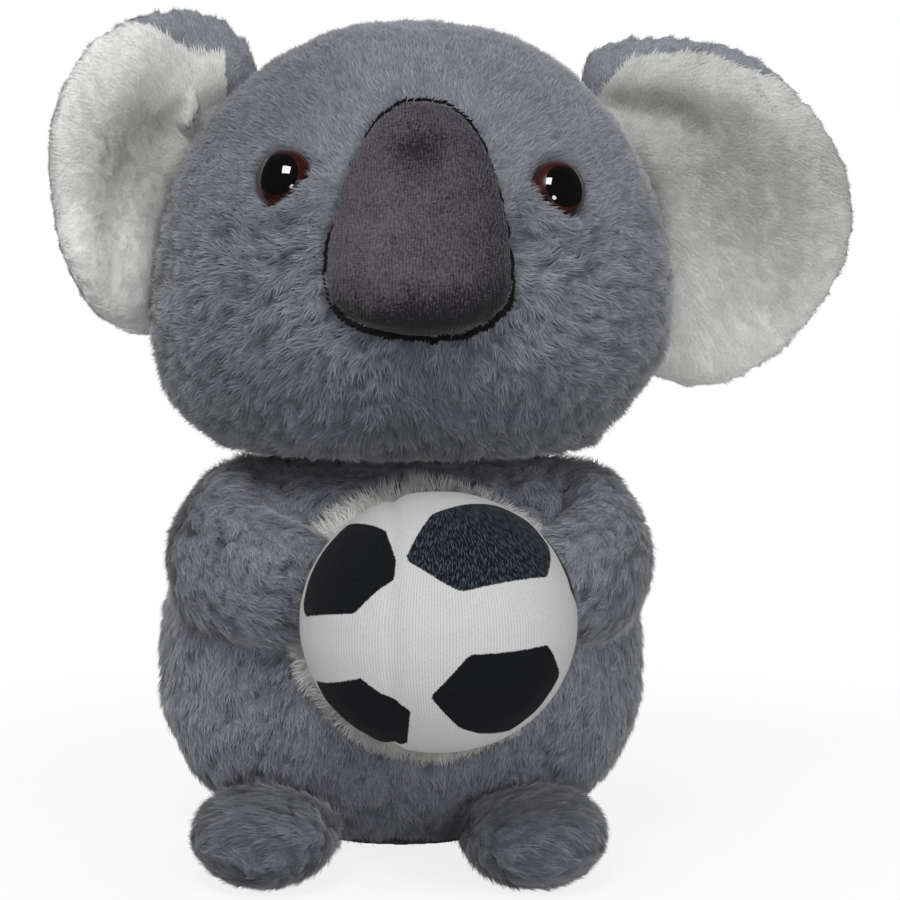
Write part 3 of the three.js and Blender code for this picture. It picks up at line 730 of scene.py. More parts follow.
@dataclass(frozen=True)
class Coat:
    """How one cloth's pile is made of locks."""

    finish: PileFinish
    slot: str
    lock: Lock = Lock.STRAIGHT
    spacing: float = 0.5
    width: float = 0.42
    flat: float = 0.6
    gather: float = 0.35
    droop: float = 0.3
    soften: float = 0.9
    crowding: float = 2.2
    thinning: float = 0.008

    def grow(self, skin: bpy.types.Object, name: str, region: int, seed: int) -> bpy.types.Object:
        """Grows the locks of one region of a skin as a mesh of its own.

        Args:
            skin: the skin, with its painted attributes.
            name: the new piece's name.
            region: the number of the region.
            seed: what the scatter starts from.
        Returns:
            The new piece, without a material.
        """
        pile = link_object(name, skin.data.copy())
        tree = self.tree(region, seed)
        pile.modifiers.new("locks", "NODES").node_group = tree
        settle_modifiers(pile)
        forget(pile.data, PAINTED + ("tone", "white"))
        bpy.data.node_groups.remove(tree)
        return pile

    def tree(self, region: int, seed: int) -> bpy.types.NodeTree:
        """Lays out the nodes that scatter, shape and map the locks.

        Args:
            region: the number of the region.
            seed: what the scatter starts from.
        Returns:
            The tree.
        """
        tree, skin = start_tree("locks")
        mark, thick, pile, lean, tone = read_values(tree, "region", "thick", "pile", "lean", "tone")
        comb, cell = read_values(tree, "comb", "cell", kind="FLOAT_VECTOR")
        here = add_node(tree, MATH, [mark, float(region), 0.25], operation="COMPARE")
        dots = add_node(tree, "GeometryNodeDistributePointsOnFaces",
                        {"Mesh": skin, "Selection": here, "Density Factor": thick,
                         "Distance Min": self.spacing * MM, "Seed": seed,
                         "Density Max": self.crowding / (self.spacing * MM) ** 2},
                        distribute_method="POISSON")
        normal = out(dots, "Normal")
        chance = [add_node(tree, "FunctionNodeRandomValue", {"Seed": seed + at},
                           data_type="FLOAT") for at in range(4)]
        wild = add_node(tree, MATH, [chance[0], 0.5, 0.6], operation="MULTIPLY_ADD")
        length = add_node(tree, MATH, [pile, wild], operation="MULTIPLY")
        least = add_node(tree, MATH, [lean, 0.2], operation="SUBTRACT")
        angle = add_node(tree, MATH, [chance[1], 0.4, least], operation="MULTIPLY_ADD")
        sway = add_node(tree, MATH, [chance[2], 0.9, -0.45], operation="MULTIPLY_ADD")
        combed = add_node(tree, "ShaderNodeVectorRotate", {"Vector": comb, "Axis": normal,
                          "Angle": sway}, rotation_type="AXIS_ANGLE")
        upright, over = (add_node(tree, MATH, [angle], operation=kind)
                         for kind in ("COSINE", "SINE"))
        facing = add_node(tree, "FunctionNodeAxesToRotation",
                          {"Primary Axis": weighted(tree, normal, upright, combed, over),
                           "Secondary Axis": combed}, primary_axis="Z", secondary_axis="X")
        broad = add_node(tree, MATH, [chance[3], 0.5 * self.width * MM, 0.75 * self.width * MM],
                         operation="MULTIPLY_ADD")
        narrow = add_node(tree, MATH, [broad, self.flat], operation="MULTIPLY")
        size = add_node(tree, "ShaderNodeCombineXYZ", [narrow, broad, length])
        lock = add_node(tree, "GeometryNodeObjectInfo", {"As Instance": True,
                                                         "Object": LOCKS[self.lock]})
        held = add_node(tree, "GeometryNodeInstanceOnPoints",
                        {"Points": dots, "Instance": out(lock, "Geometry"),
                         "Rotation": facing, "Scale": size})
        sag = add_node(tree, MATH, [length, self.droop], operation="MULTIPLY")
        pull = weighted(tree, combed, sag, cell, self.gather)
        darker = add_node(tree, MATH, [tone, 0.1], operation="SUBTRACT")
        tint = add_node(tree, MATH, [chance[0], 0.2, darker], operation="MULTIPLY_ADD")
        for name, kind, value in (("pull", "FLOAT_VECTOR", pull), ("tone", "FLOAT", tint),
                                  ("rise", "FLOAT_VECTOR", normal)):
            held = add_node(tree, STORE, {"Geometry": held, "Name": name, "Value": value},
                            data_type=kind, domain="INSTANCE")
        real = add_node(tree, "GeometryNodeRealizeInstances", [held])
        add_node(tree, "NodeGroupOutput", [self.mapped(tree, real)])
        return tree

    def mapped(self, tree: object, locks: object) -> object:
        """Bends the locks, gives them their map, and softens their shading.

        Args:
            tree: the tree of the locks.
            locks: the node with the locks, which stand straight.
        Returns:
            The node with the finished locks.
        """
        up, around, tone = read_values(tree, "up", "around", "tone")
        pull, rise = read_values(tree, "pull", "rise", kind="FLOAT_VECTOR")
        curve = add_node(tree, MATH, [up, 1.6], operation="POWER")
        bend = add_node(tree, VECTORS, {0: pull, "Scale": curve}, operation="SCALE")
        bent = add_node(tree, "GeometryNodeSetPosition", {"Geometry": locks, "Offset": bend})
        least = add_node(tree, MATH, [tone, 0.02], operation="MAXIMUM")
        shown = add_node(tree, MATH, [least, 0.98], operation="MINIMUM")
        across = add_node(tree, MATH, [around, self.thinning, shown], operation="MULTIPLY_ADD")
        foot = add_node(tree, MATH, [around, self.thinning, 0.03], operation="MULTIPLY_ADD")
        along = add_node(tree, MATH, [up, 0.94, foot], operation="MULTIPLY_ADD")
        spot = add_node(tree, "ShaderNodeCombineXYZ", [across, along])
        held = add_node(tree, STORE, {"Geometry": bent, "Name": "OFBake", "Value": spot},
                        data_type="FLOAT2", domain="CORNER")
        own = add_node(tree, "GeometryNodeInputNormal")
        soft = add_node(tree, MIX, {"Factor": self.soften, "A": own, "B": rise},
                        data_type="VECTOR")
        return add_node(tree, "GeometryNodeSetMeshNormal", {"Mesh": held, "Custom Normal": soft},
                        mode="FREE", domain="POINT")


def start_tree(name: str) -> tuple:
    """Starts a tree of geometry nodes with one way in and one way out.

    Args:
        name: its name.
    Returns:
        The tree, and the node that lets the skin in.
    """
    tree = bpy.data.node_groups.new(name, "GeometryNodeTree")
    tree.interface.new_socket("Skin", in_out="INPUT", socket_type="NodeSocketGeometry")
    tree.interface.new_socket("Pile", in_out="OUTPUT", socket_type="NodeSocketGeometry")
    return tree, add_node(tree, "NodeGroupInput")


def read_values(tree: object, *names: str, kind: str = "FLOAT") -> list:
    """Reads painted attributes.

    Args:
        tree: the tree of geometry nodes.
        names: the attributes' names.
        kind: what they hold.
    Returns:
        A node for each.
    """
    return [add_node(tree, "GeometryNodeInputNamedAttribute", {"Name": name}, data_type=kind)
            for name in names]


def weighted(tree: object, one: object, share: object, other: object, part: object) -> object:
    """Adds two vectors, each times a number.

    Args:
        tree: the tree of geometry nodes.
        one: what gives the first vector.
        share: what gives its number.
        other: what gives the second vector.
        part: what gives its number.
    Returns:
        The node with the sum.
    """
    parts = [add_node(tree, VECTORS, {0: vector, "Scale": amount}, operation="SCALE")
             for vector, amount in ((one, share), (other, part))]
    return add_node(tree, VECTORS, parts, operation="ADD")


def forget(mesh: bpy.types.Mesh, names: tuple) -> None:
    """Takes painted attributes off a mesh.

    Args:
        mesh: the mesh.
        names: the attributes' names.
    """
    for name in [a.name for a in mesh.attributes if a.name in names]:
        mesh.attributes.remove(mesh.attributes[name])


def make_lock(kind: Lock) -> bpy.types.Object:
    """Makes one tapered lock of fibres, which the pile repeats.

    Args:
        kind: its shape.
    Returns:
        The lock, one metre long.
    """
    bm = bmesh.new()
    bmesh.ops.create_cone(bm, cap_ends=True, segments=3, radius1=0.5, radius2=0.0, depth=1.0,
                          matrix=Matrix.Translation((0.0, 0.0, 0.5)))
    bmesh.ops.remove_doubles(bm, verts=bm.verts, dist=WELD)
    if kind is Lock.BENT:
        upright = [e for e in bm.edges if abs(e.verts[0].co.z - e.verts[1].co.z) > 0.5]
        bmesh.ops.subdivide_edges(bm, edges=upright, cuts=1)
        middle = [v for v in bm.verts if 0.4 < v.co.z < 0.6]
        bmesh.ops.scale(bm, vec=(1.7, 1.7, 1.0), verts=middle)
    up = bm.verts.layers.float.new("up")
    around = bm.verts.layers.float.new("around")
    for vertex in bm.verts:
        vertex[up] = vertex.co.z
        vertex[around] = math.atan2(vertex.co.y, vertex.co.x) / math.pi * (vertex.co.z < 0.9)
    return bpy.data.objects.new(kind.value, to_mesh(bm, kind.value))


@dataclass(frozen=True)
class Clumps:
    """How the pile falls into soft clumps, with painted shade in the partings between them."""

    size: float = 3.4
    height: float = 1.4
    parting: float = 0.7
    tint: float = 0.2

    def raise_on(self, skin: bpy.types.Object) -> None:
        """Raises the clumps on a skin, paints where they are, and paints shade into the partings.

        Args:
            skin: the skin, with its painted attributes.
        """
        tree, enter = start_tree("clumps")
        fluff, tone = read_values(tree, "fluff", "tone")
        size = self.size * MM
        place = add_node(tree, "GeometryNodeInputPosition")
        stir = add_node(tree, NOISE, {"Vector": place, "Scale": 0.5 / size, "Detail": 2.0})
        shift = add_node(tree, VECTORS, [out(stir, "Color"), (size * 2.4,) * 3,
                                         (-1.2 * self.size * MM,) * 3], operation="MULTIPLY_ADD")
        moved = add_node(tree, VECTORS, [place, shift], operation="ADD")
        cells = add_node(tree, "ShaderNodeTexVoronoi", {"Vector": moved, "Scale": 1 / size})
        way = add_node(tree, VECTORS, [out(cells, "Position"), moved], operation="SUBTRACT")
        square = add_node(tree, MATH, [cells, cells], operation="MULTIPLY")
        high = add_node(tree, MATH, [square, -2.0 * self.height * MM, 0.5 * self.height * MM],
                        operation="MULTIPLY_ADD")
        raised = add_node(tree, MATH, [high, fluff], operation="MULTIPLY")
        normal = add_node(tree, "GeometryNodeInputNormal")
        lift = add_node(tree, VECTORS, {0: normal, "Scale": raised}, operation="SCALE")
        hue = add_node(tree, SPLIT, [out(cells, "Color")])
        tint = add_node(tree, MATH, [hue, self.tint, -0.5 * self.tint],
                        operation="MULTIPLY_ADD")
        # Painted shade: the tone darkens towards the partings between the clumps.
        dark = add_node(tree, MATH, [square, -2.0 * self.parting, self.parting * 0.4],
                        operation="MULTIPLY_ADD")
        both = add_node(tree, MATH, [tint, dark], operation="ADD")
        change = add_node(tree, MATH, [both, fluff], operation="MULTIPLY")
        painted = add_node(tree, MATH, [tone, change], operation="ADD")
        held = enter
        for name, kind, value in (("cell", "FLOAT_VECTOR", way), ("tone", "FLOAT", painted)):
            held = add_node(tree, STORE, {"Geometry": held, "Name": name, "Value": value},
                            data_type=kind, domain="POINT")
        clumped = add_node(tree, "GeometryNodeSetPosition", {"Geometry": held, "Offset": lift})
        add_node(tree, "NodeGroupOutput", [clumped])
        skin.modifiers.new("clumps", "NODES").node_group = tree
        settle_modifiers(skin)
        bpy.data.node_groups.remove(tree)


@dataclass
class StuffedForm:
    """A stuffed form in plush: a puffed skin, and the pile that grows on it."""

    name: str = ""
    sources: tuple = ()
    body: str = "torso"
    coats: tuple = (Coat(GREY_PILE, "grey_plush"),)
    bed: BedFinish = GREY_BED
    replaced: tuple = ()
    voxel: float = 4.0
    inset: float = -2.5
    swell: float = 1.0
    rounds: int = 2
    fill: float = 0.8
    seed: int = 1
    clumps: Clumps = Clumps()
    pressure: float = 4.0
    settling: int = 20
    seam_depth: float = 1.8
    seam_width: float = 2.6
    hiders: tuple = ()
    around: tuple = ()
    bend: tuple = ()
    seams: list = field(default_factory=list)

    def build(self) -> None:
        """Builds the skin and grows its pile."""
        skin = self.make_skin()
        self.paint(skin.data)
        if self.rounds > 1:
            self.subdivide(skin)
        self.clumps.raise_on(skin)
        for region, coat in enumerate(self.coats):
            name = f"{self.name}_pile" + (f"_{region + 1}" if len(self.coats) > 1 else "")
            pile = coat.grow(skin, name, region, self.seed + region * 10)
            finish_piece(pile, dressed(coat.finish), self.body,
                         self.replaced_by(region), bend=self.bend)
        forget(skin.data, PAINTED)
        finish_piece(skin, dressed(self.bed), self.body,
                     self.replaced, self.bend)

    def replaced_by(self, region: int) -> tuple:
        """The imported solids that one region's pile stands for."""
        return ()

    def make_skin(self) -> bpy.types.Object:
        """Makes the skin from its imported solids: remeshed, puffed, smoothed and sewn.

        Returns:
            The skin, without a material.
        """
        bm = solid_copy(self.sources[0])
        for more in self.sources[1:]:
            bm.from_mesh(frame["nodes"][more].data)
        bmesh.ops.remove_doubles(bm, verts=bm.verts, dist=WELD)
        skin = link_object(f"{self.name}_skin", to_mesh(bm, self.name))
        add_modifier(skin, "REMESH", voxel_size=self.voxel * MM, use_smooth_shade=True)
        settle_modifiers(skin)
        self.settle_in(skin.data)
        if self.swell:
            self.puff(skin)
        self.subdivide(skin)
        move_points(skin.data, self.sewn)
        return skin

    def subdivide(self, skin: bpy.types.Object) -> None:
        """Rounds the skin with one step of subdivision."""
        add_modifier(skin, "SUBSURF", levels=1, render_levels=1)
        settle_modifiers(skin)

    def settle_in(self, mesh: bpy.types.Mesh) -> None:
        """Draws the skin in by its inset, or out where the inset is less than nothing."""
        move_points(mesh, lambda point, normal: -self.inset)

    def puff(self, skin: bpy.types.Object) -> None:
        """Lets the cloth swell under the stuffing, held along its seams.

        Args:
            skin: the skin, from its solids.
        """
        mesh = skin.data
        rest = [v.co.copy() for v in mesh.vertices]
        held = skin.vertex_groups.new(name="sewn")
        for vertex in mesh.vertices:
            if self.seams and min(line_distance(vertex.co, s) for s in self.seams) < self.voxel:
                held.add([vertex.index], 1.0, "REPLACE")
        cloth = skin.modifiers.new("stuffing", "CLOTH")
        cloth.settings.use_pressure = True
        cloth.settings.uniform_pressure_force = self.pressure
        cloth.settings.effector_weights.gravity = 0.0
        cloth.settings.vertex_group_mass = "sewn"
        scene = bpy.context.scene
        for step in range(1, self.settling + 1):
            scene.frame_set(step)
        settle_modifiers(skin)
        scene.frame_set(1)
        for vertex, start in zip(skin.data.vertices, rest):
            move = vertex.co - start
            if move.length > self.swell * MM:
                vertex.co = start + move.normalized() * self.swell * MM
        skin.data.update()
        skin.vertex_groups.clear()

    def sewn(self, point: Vector, normal: Vector) -> float:
        """How far the seams and the hand draw the skin in or out at a point.

        Args:
            point: the point.
            normal: the skin's normal there.
        Returns:
            The distance outwards, in millimetres.
        """
        depth = 0.0
        for seam in self.seams:
            depth -= self.seam_depth * bump(line_distance(point, seam), self.seam_width)
        return depth + self.shape_at(point, normal)

    def paint(self, mesh: bpy.types.Mesh) -> None:
        """Paints what the pile needs to know onto the skin's points and faces.

        Args:
            mesh: the skin's mesh.
        """
        covered = tree_of(self.hiders) if self.hiders else None
        near = tree_of(self.around) if self.around else None
        rows = {key: [] for key in ("comb", "pile", "lean", "thick", "tone", "fluff", "white")}
        for vertex in mesh.vertices:
            point, normal = vertex.co, vertex.normal
            comb = along_surface(self.comb_at(point, normal), normal)
            lean = self.lean_at(point, normal)
            way = normal * math.cos(lean) + comb * math.sin(lean)
            pile = self.pile_at(point, normal)
            thick = self.thick_at(point, normal)
            if covered and covered.ray_cast(point, normal, 4 * MM)[0]:
                thick = 0.0
            if near:
                hit = near.ray_cast(point, way, pile * MM * 1.1)[3]
                if hit is not None:
                    pile = max(hit / MM * 0.9, 1.2)
            room = point.z / MM / max(-way.z, 0.05)
            rows["comb"].extend(comb)
            rows["pile"].append(max(min(pile, room), 0.6) * MM)
            rows["lean"].append(lean)
            rows["thick"].append(thick)
            rows["tone"].append(self.tone_at(point, normal))
            rows["fluff"].append(self.fluff_at(point, normal))
            rows["white"].append(self.white_at(point, normal))
        store_values(mesh, "comb", rows.pop("comb"), width=3)
        for key, values in rows.items():
            store_values(mesh, key, values)
        regions = [float(self.region_at(face.center, face.normal)) for face in mesh.polygons]
        store_values(mesh, "region", regions, "FACE")

    def shape_at(self, point: Vector, normal: Vector) -> float:
        """What the hand shapes beyond the stuffing, in millimetres outwards."""
        return 0.0

    def comb_at(self, point: Vector, normal: Vector) -> Vector:
        """The way the pile is combed."""
        return self.swirl(Vector((0.0, 0.0, -1.0)), point, normal)

    def swirl(self, way: Vector, point: Vector, normal: Vector, amount: float = 1.0) -> Vector:
        """Turns a combing direction in soft waves.

        Args:
            way: the direction.
            point: where the lock grows.
            normal: the skin's normal there.
            amount: how strong the waves are.
        Returns:
            The direction in which the lock is combed.
        """
        angle = 0.8 * wave(point, 22, self.seed) + 0.7 * wave(point, 8, self.seed + 5.0)
        angle += 0.9 * wave(point, 4, self.seed + 9.0) * self.fluff_at(point, normal)
        return turned(along_surface(way, normal), normal, angle * amount)

    def pile_at(self, point: Vector, normal: Vector) -> float:
        """The pile's length in millimetres."""
        return 3.1 + 0.5 * wave(point, 12, 3.0)

    def lean_at(self, point: Vector, normal: Vector) -> float:
        """How far the locks lean from upright, in radians."""
        return math.radians(66 + 8 * wave(point, 10, 7.0))

    def thick_at(self, point: Vector, normal: Vector) -> float:
        """How thickly the locks stand, from 0 to 1."""
        return 1.0

    def tone_at(self, point: Vector, normal: Vector) -> float:
        """How light the locks are, from 0 to 1."""
        return 0.55 + 0.12 * wave(point, 16, 9.0)

    def fluff_at(self, point: Vector, normal: Vector) -> float:
        """How far the pile falls into clumps, from 0 to 1."""
        return 0.75

    def white_at(self, point: Vector, normal: Vector) -> float:
        """Whether the pile is white here."""
        return 0.0

    def region_at(self, point: Vector, normal: Vector) -> int:
        """The number of the pile's piece that a face belongs to."""
        return 0


@dataclass
class Head(StuffedForm):
    """The head: short pile combed flat on the brow, soft clumps on the cheeks and the chin."""

    name: str = "head"
    sources: tuple = ("head_filling",)
    replaced: tuple = ("head_filling", "head_cover")
    body: str = "head"
    coats: tuple = (Coat(GREY_PILE, "grey_plush"),) * 5
    clumps: Clumps = Clumps(3.4, 1.6, 0.8, 0.22)
    seed: int = 11
    hiders: tuple = ("nose_pad", "nose_stitching", "eye_left_ring", "eye_right_ring",
                     "torso_cover")
    around: tuple = ("nose_pad", "torso_cover")
    nose: Vector = field(default_factory=lambda: mm(6.5, -76, 188))
    neck: float = 118.4
    jaw_aside: float = 2.6
    corner: float = 7.0
    right_in: float = 2.4
    brow_rise: float = 2.0
    eyes: tuple = (((-32.3, -55.5, 202.0), (-0.369, -0.850, 0.378), (0.6, -0.2, -0.79), 5.8),
                   ((45.4, -52.8, 198.6), (0.459, -0.821, 0.342), (-0.58, -0.2, -0.8), 5.8))

    def __post_init__(self) -> None:
        """Lays out the seams of the chin, the two darts and the back."""
        self.seams = [
            [mm(-1.2, -62, 156), mm(-1.2, -58, 136), mm(-1.2, -50, 120)],
            [mm(-51, -42, 132), mm(-47, -38, 120)],
            [mm(54, -40, 132), mm(50, -36, 120)],
            [mm(2, 50, 200), mm(1, 52, 165), mm(0, 44, 120)],
        ]

    def settle_in(self, mesh: bpy.types.Mesh) -> None:
        """Brings the flat of the neck down onto the neck's plane, and shapes jaw and brow.

        Args:
            mesh: the head's mesh.
        """
        super().settle_in(mesh)
        low = min(v.co.z for v in mesh.vertices)
        for vertex in mesh.vertices:
            share = smooth(14 * MM, 0.0, vertex.co.z - low)
            vertex.co.z -= (low - self.neck * MM) * share
            vertex.co.x -= self.jaw_aside * MM * smooth(152, 130, vertex.co.z / MM)
            right = smooth(30, 55, vertex.co.x / MM) * smooth(150, 136, vertex.co.z / MM)
            corner = smooth(126, 120, vertex.co.z / MM) * smooth(24, 48, abs(vertex.co.x) / MM)
            wider = math.copysign(self.corner, vertex.co.x) * corner
            vertex.co.x += (wider - self.right_in * right) * MM
            brow = smooth(-42, -8, vertex.co.x / MM) * smooth(66, 40, vertex.co.x / MM)
            vertex.co.z += self.brow_rise * MM * brow * smooth(213, 236, vertex.co.z / MM)
        mesh.update()

    def fluff_at(self, point: Vector, normal: Vector) -> float:
        """Little on the brow, full on the cheeks and the chin."""
        level = point.z / MM + 6 * wave(point, 25, 2.0)
        return 0.3 + 0.7 * smooth(203, 178, level)

    def shape_at(self, point: Vector, normal: Vector) -> float:
        """Raises the pile's bed round the eyes, which are drawn into the head.

        Args:
            point: a point of the piece.
            normal: the normal there.
        Returns:
            Millimetres outwards.
        """
        push = 0.0
        for place, axis, inward, cut in self.eyes:
            off = point - mm(*place)
            off -= Vector(axis) * off.dot(Vector(axis))
            out_by = off.length / MM
            lap = off.dot(Vector(inward).normalized()) / MM
            push += 1.6 * smooth(7, 9.5, out_by) * smooth(16, 10, out_by)
            push += 5.4 * smooth(cut - 1.0, cut + 1.5, lap) * smooth(17, 9, out_by)
        return push

    def comb_at(self, point: Vector, normal: Vector) -> Vector:
        """Combs the pile away from the nose, and down at the back.

        Args:
            point: a point of the piece.
            normal: the normal there.
        Returns:
            The direction.
        """
        away = (point - self.nose).normalized()
        back = smooth(-10, 35, point.y / MM)
        way = away * (1 - back) + Vector((0.0, 0.2, -1.0)) * back
        return self.swirl(way, point, normal, 0.35 + 0.75 * self.fluff_at(point, normal))

    def pile_at(self, point: Vector, normal: Vector) -> float:
        """Short on the brow, longer on the cheeks, and long enough to lap over the eyes."""
        return 2.5 + 0.9 * self.fluff_at(point, normal) + 0.4 * wave(point, 11, 3.0)

    def lean_at(self, point: Vector, normal: Vector) -> float:
        """Brushed flat on the brow and looser on the cheeks."""
        fluff = self.fluff_at(point, normal)
        return math.radians(74 - 14 * fluff + 8 * wave(point, 9, 7.0))

    def tone_at(self, point: Vector, normal: Vector) -> float:
        """Lighter on the brow and darker down the cheeks, with painted shade under the chin, under the nose
        and above the eyes.

        Args:
            point: a point of the piece.
            normal: the normal there.
        Returns:
            The tone, from 0 for the darkest locks to 1 for the lightest.
        """
        # Painted shade under the chin: low is 1 there.
        low = smooth(165, 130, point.z / MM) * smooth(20, -20, point.y / MM)
        fluff = self.fluff_at(point, normal)
        # Painted shade in the sockets above the eyes.
        socket = 0.0
        for place, *_ in self.eyes:
            off = (point - mm(*place)) / MM
            above = smooth(-0.2, 0.7, off.z / max(off.length, 1.0))
            socket += above * bump(off.length - 9.0, 2.2)
        tone = 0.68 - 0.24 * fluff - 0.36 * low - 0.35 * socket
        # Painted shade under the nose; the head is also darker on the lower left cheek and the upper left of
        # the crown, and lighter low on its left side.
        tone -= 0.42 * bump((point - mm(8, -64, 150)).length / MM, 14)
        tone -= 0.12 * bump((point - mm(-42, -52, 155)).length / MM, 18)
        tone -= 0.2 * smooth(-5, -30, point.x / MM) * smooth(205, 220, point.z / MM)
        tone += 0.14 * smooth(-50, -66, point.x / MM) * smooth(152, 172, point.z / MM)
        return tone + 0.1 * wave(point, 14, 9.0)

    def region_at(self, point: Vector, normal: Vector) -> int:
        """Two regions in front and three behind."""
        if point.y < -5 * MM:
            return 0 if point.z > 183 * MM else 1
        return 2 if point.z > 205 * MM else (3 if point.x < 0 else 4)


@dataclass
class Torso(StuffedForm):
    """The body: a seated pear with a seam at the crotch, sides and back."""

    name: str = "torso"
    sources: tuple = ("torso_filling",)
    replaced: tuple = ("torso_filling", "torso_cover", "pellet_bag")
    coats: tuple = (Coat(GREY_PILE, "grey_plush"),) * 5
    seed: int = 23
    voxel: float = 4.4
    hiders: tuple = ("belly_patch", "ball_cover", "head_cover", "base_panel")
    around: tuple = ("foot_left_cover", "foot_right_cover", "head_cover", "arm_left_cover",
                     "arm_right_cover")
    neck: float = 118.2
    shoulder: float = 4.5
    aside: float = 1.4
    flank: float = 1.1
    chest: float = 3.0
    rim: float = 2.6

    def __post_init__(self) -> None:
        """Lays out the seams of the crotch, the sides and the back."""
        self.arms = tree_of(("arm_left_cover", "arm_right_cover"))
        self.seams = [
            [mm(-1.5, -45, 34), mm(-1.5, -38, 14), mm(-1.5, -20, 3)],
            [mm(-69, 4, 20), mm(-71, 4, 60), mm(-60, 4, 100)],
            [mm(69, 4, 20), mm(71, 4, 60), mm(60, 4, 100)],
            [mm(0, 43, 100), mm(0, 47, 55), mm(0, 38, 14)],
        ]

    def settle_in(self, mesh: bpy.types.Mesh) -> None:
        """Brings the top of the body up onto the neck's plane, and fills the shoulders.

        Args:
            mesh: the torso's mesh.
        """
        super().settle_in(mesh)
        high = max(v.co.z for v in mesh.vertices)
        for vertex in mesh.vertices:
            share = smooth(14 * MM, 0.0, high - vertex.co.z)
            vertex.co.z += (self.neck * MM - high) * share
            full = smooth(86, 112, vertex.co.z / MM) * smooth(18, 42, abs(vertex.co.x) / MM)
            vertex.co.x += math.copysign(self.shoulder * MM * full, vertex.co.x)
            rim = smooth(38, 56, abs(vertex.co.x) / MM) * smooth(108, 116, vertex.co.z / MM)
            front = smooth(92, 112, vertex.co.z / MM) * smooth(-10, -35, vertex.co.y / MM)
            aside = smooth(96, 110, vertex.co.z / MM)
            flank = smooth(28, 42, vertex.co.z / MM) * smooth(100, 86, vertex.co.z / MM)
            flank *= smooth(35, 60, abs(vertex.co.x) / MM)
            out_by = math.copysign(self.flank * flank, vertex.co.x)
            vertex.co += mm(self.aside * aside + out_by, -self.chest * front, self.rim * rim)
        mesh.update()

    def shape_at(self, point: Vector, normal: Vector) -> float:
        """Fills the groove round the arms, where the two piles mix."""
        gap = self.arms.find_nearest(point)[3] / MM
        return 2.6 * smooth(9, 2, gap) * smooth(70, 90, point.z / MM)

    def comb_at(self, point: Vector, normal: Vector) -> Vector:
        """Combs the pile down, and in towards the middle of the belly."""
        return self.swirl(Vector((-point.x * 3, 0.0, -1.0)), point, normal, 0.9)

    def pile_at(self, point: Vector, normal: Vector) -> float:
        """Longer round the neck, where it fills the crease under the head."""
        return super().pile_at(point, normal) + 1.8 * smooth(106, 115, point.z / MM)

    def lean_at(self, point: Vector, normal: Vector) -> float:
        """Stands up round the neck."""
        return super().lean_at(point, normal) - 0.6 * smooth(106, 115, point.z / MM)

    def tone_at(self, point: Vector, normal: Vector) -> float:
        """Even, with soft clouds, and painted shade low at the front."""
        # Painted shade low at the front, under the ball.
        low = smooth(40, 12, point.z / MM) * smooth(10, -20, point.y / MM)
        return 0.72 - 0.14 * low + 0.13 * wave(point, 15, 4.0)

    def region_at(self, point: Vector, normal: Vector) -> int:
        """The lower front, the upper front, the two halves of the back, and its lower end."""
        if point.y > 2 * MM:
            return 4 if point.z < 30 * MM else (2 if point.x < 0 else 3)
        return 0 if point.z < 48 * MM else 1


@dataclass
class Arm(StuffedForm):
    """One arm that reaches round to the ball."""

    side: Side = Side.LEFT
    voxel: float = 2.3
    inset: float = 0.4
    rounds: int = 1

    def __post_init__(self) -> None:
        """Names the arm's parts."""
        word = self.side.word
        self.name = self.body = f"arm_{word}"
        self.sources = self.replaced = (f"arm_{word}_filling", f"arm_{word}_cover")
        self.around = ("torso_cover", "ball_cover", "head_cover", "belly_patch")
        self.seed = 31 + self.side.value

    def settle_in(self, mesh: bpy.types.Mesh) -> None:
        """Fills the shoulder up to the neck.

        Args:
            mesh: the arm's mesh.
        """
        super().settle_in(mesh)
        for vertex in mesh.vertices:
            x, y, z = (part / MM for part in vertex.co)
            share = smooth(90, 110, z) * smooth(-46, -22, y)
            inner = smooth(70, 54, abs(x))
            vertex.co.z += (1.5 + 2.5 * inner) * MM * share
            vertex.co.x += (1.4 - self.side.value * 2.0) * MM * share
        mesh.update()

    def comb_at(self, point: Vector, normal: Vector) -> Vector:
        """Combs the pile from the shoulder to the paw and a little down."""
        paw = mm(self.side.value * 10 + 8, -66, 82)
        return self.swirl((paw - point).normalized() + Vector((0, 0, -0.55)), point, normal, 0.9)

    def tone_at(self, point: Vector, normal: Vector) -> float:
        """Even, with soft clouds."""
        return 0.62 + 0.12 * wave(point, 12, 4.0)


@dataclass
class Foot(StuffedForm):
    """One foot, a plump pad turned forwards."""

    side: Side = Side.LEFT
    voxel: float = 3.2
    apart: float = 37.5
    outward: float = 1.0
    toes: float = 9.0
    floor: float = 0.4

    def __post_init__(self) -> None:
        """Names the foot's parts."""
        word = self.side.word
        self.name = f"foot_{word}"
        self.sources = (f"foot_{word}_filling",)
        self.replaced = self.sources + (f"foot_{word}_cover",)
        self.hiders = ("torso_cover",)
        self.around = ("torso_cover",)
        self.seed = 41 + self.side.value

    def settle_in(self, mesh: bpy.types.Mesh) -> None:
        """Lets the toes reach forwards, pressed flat on the floor.

        Args:
            mesh: the foot's mesh.
        """
        super().settle_in(mesh)
        middle = self.side.value * self.apart * MM
        for vertex in mesh.vertices:
            front = smooth(-35, -75, vertex.co.y / MM)
            vertex.co.y -= self.toes * MM * front
            wide = 1 + 0.05 * front - 0.17 * smooth(11, 2, vertex.co.z / MM)
            vertex.co.x = (middle + (vertex.co.x - middle) * wide
                           + self.side.value * self.outward * MM)
            vertex.co.z = max(vertex.co.z, self.floor * MM)
        mesh.update()

    def comb_at(self, point: Vector, normal: Vector) -> Vector:
        """Combs the pile sideways over the foot."""
        return self.swirl(Vector((self.side.value * 0.9, -0.5, -0.2)), point, normal, 1.1)

    def tone_at(self, point: Vector, normal: Vector) -> float:
        """Even, with soft clouds."""
        return 0.2 + 0.12 * wave(point, 12, 4.0)


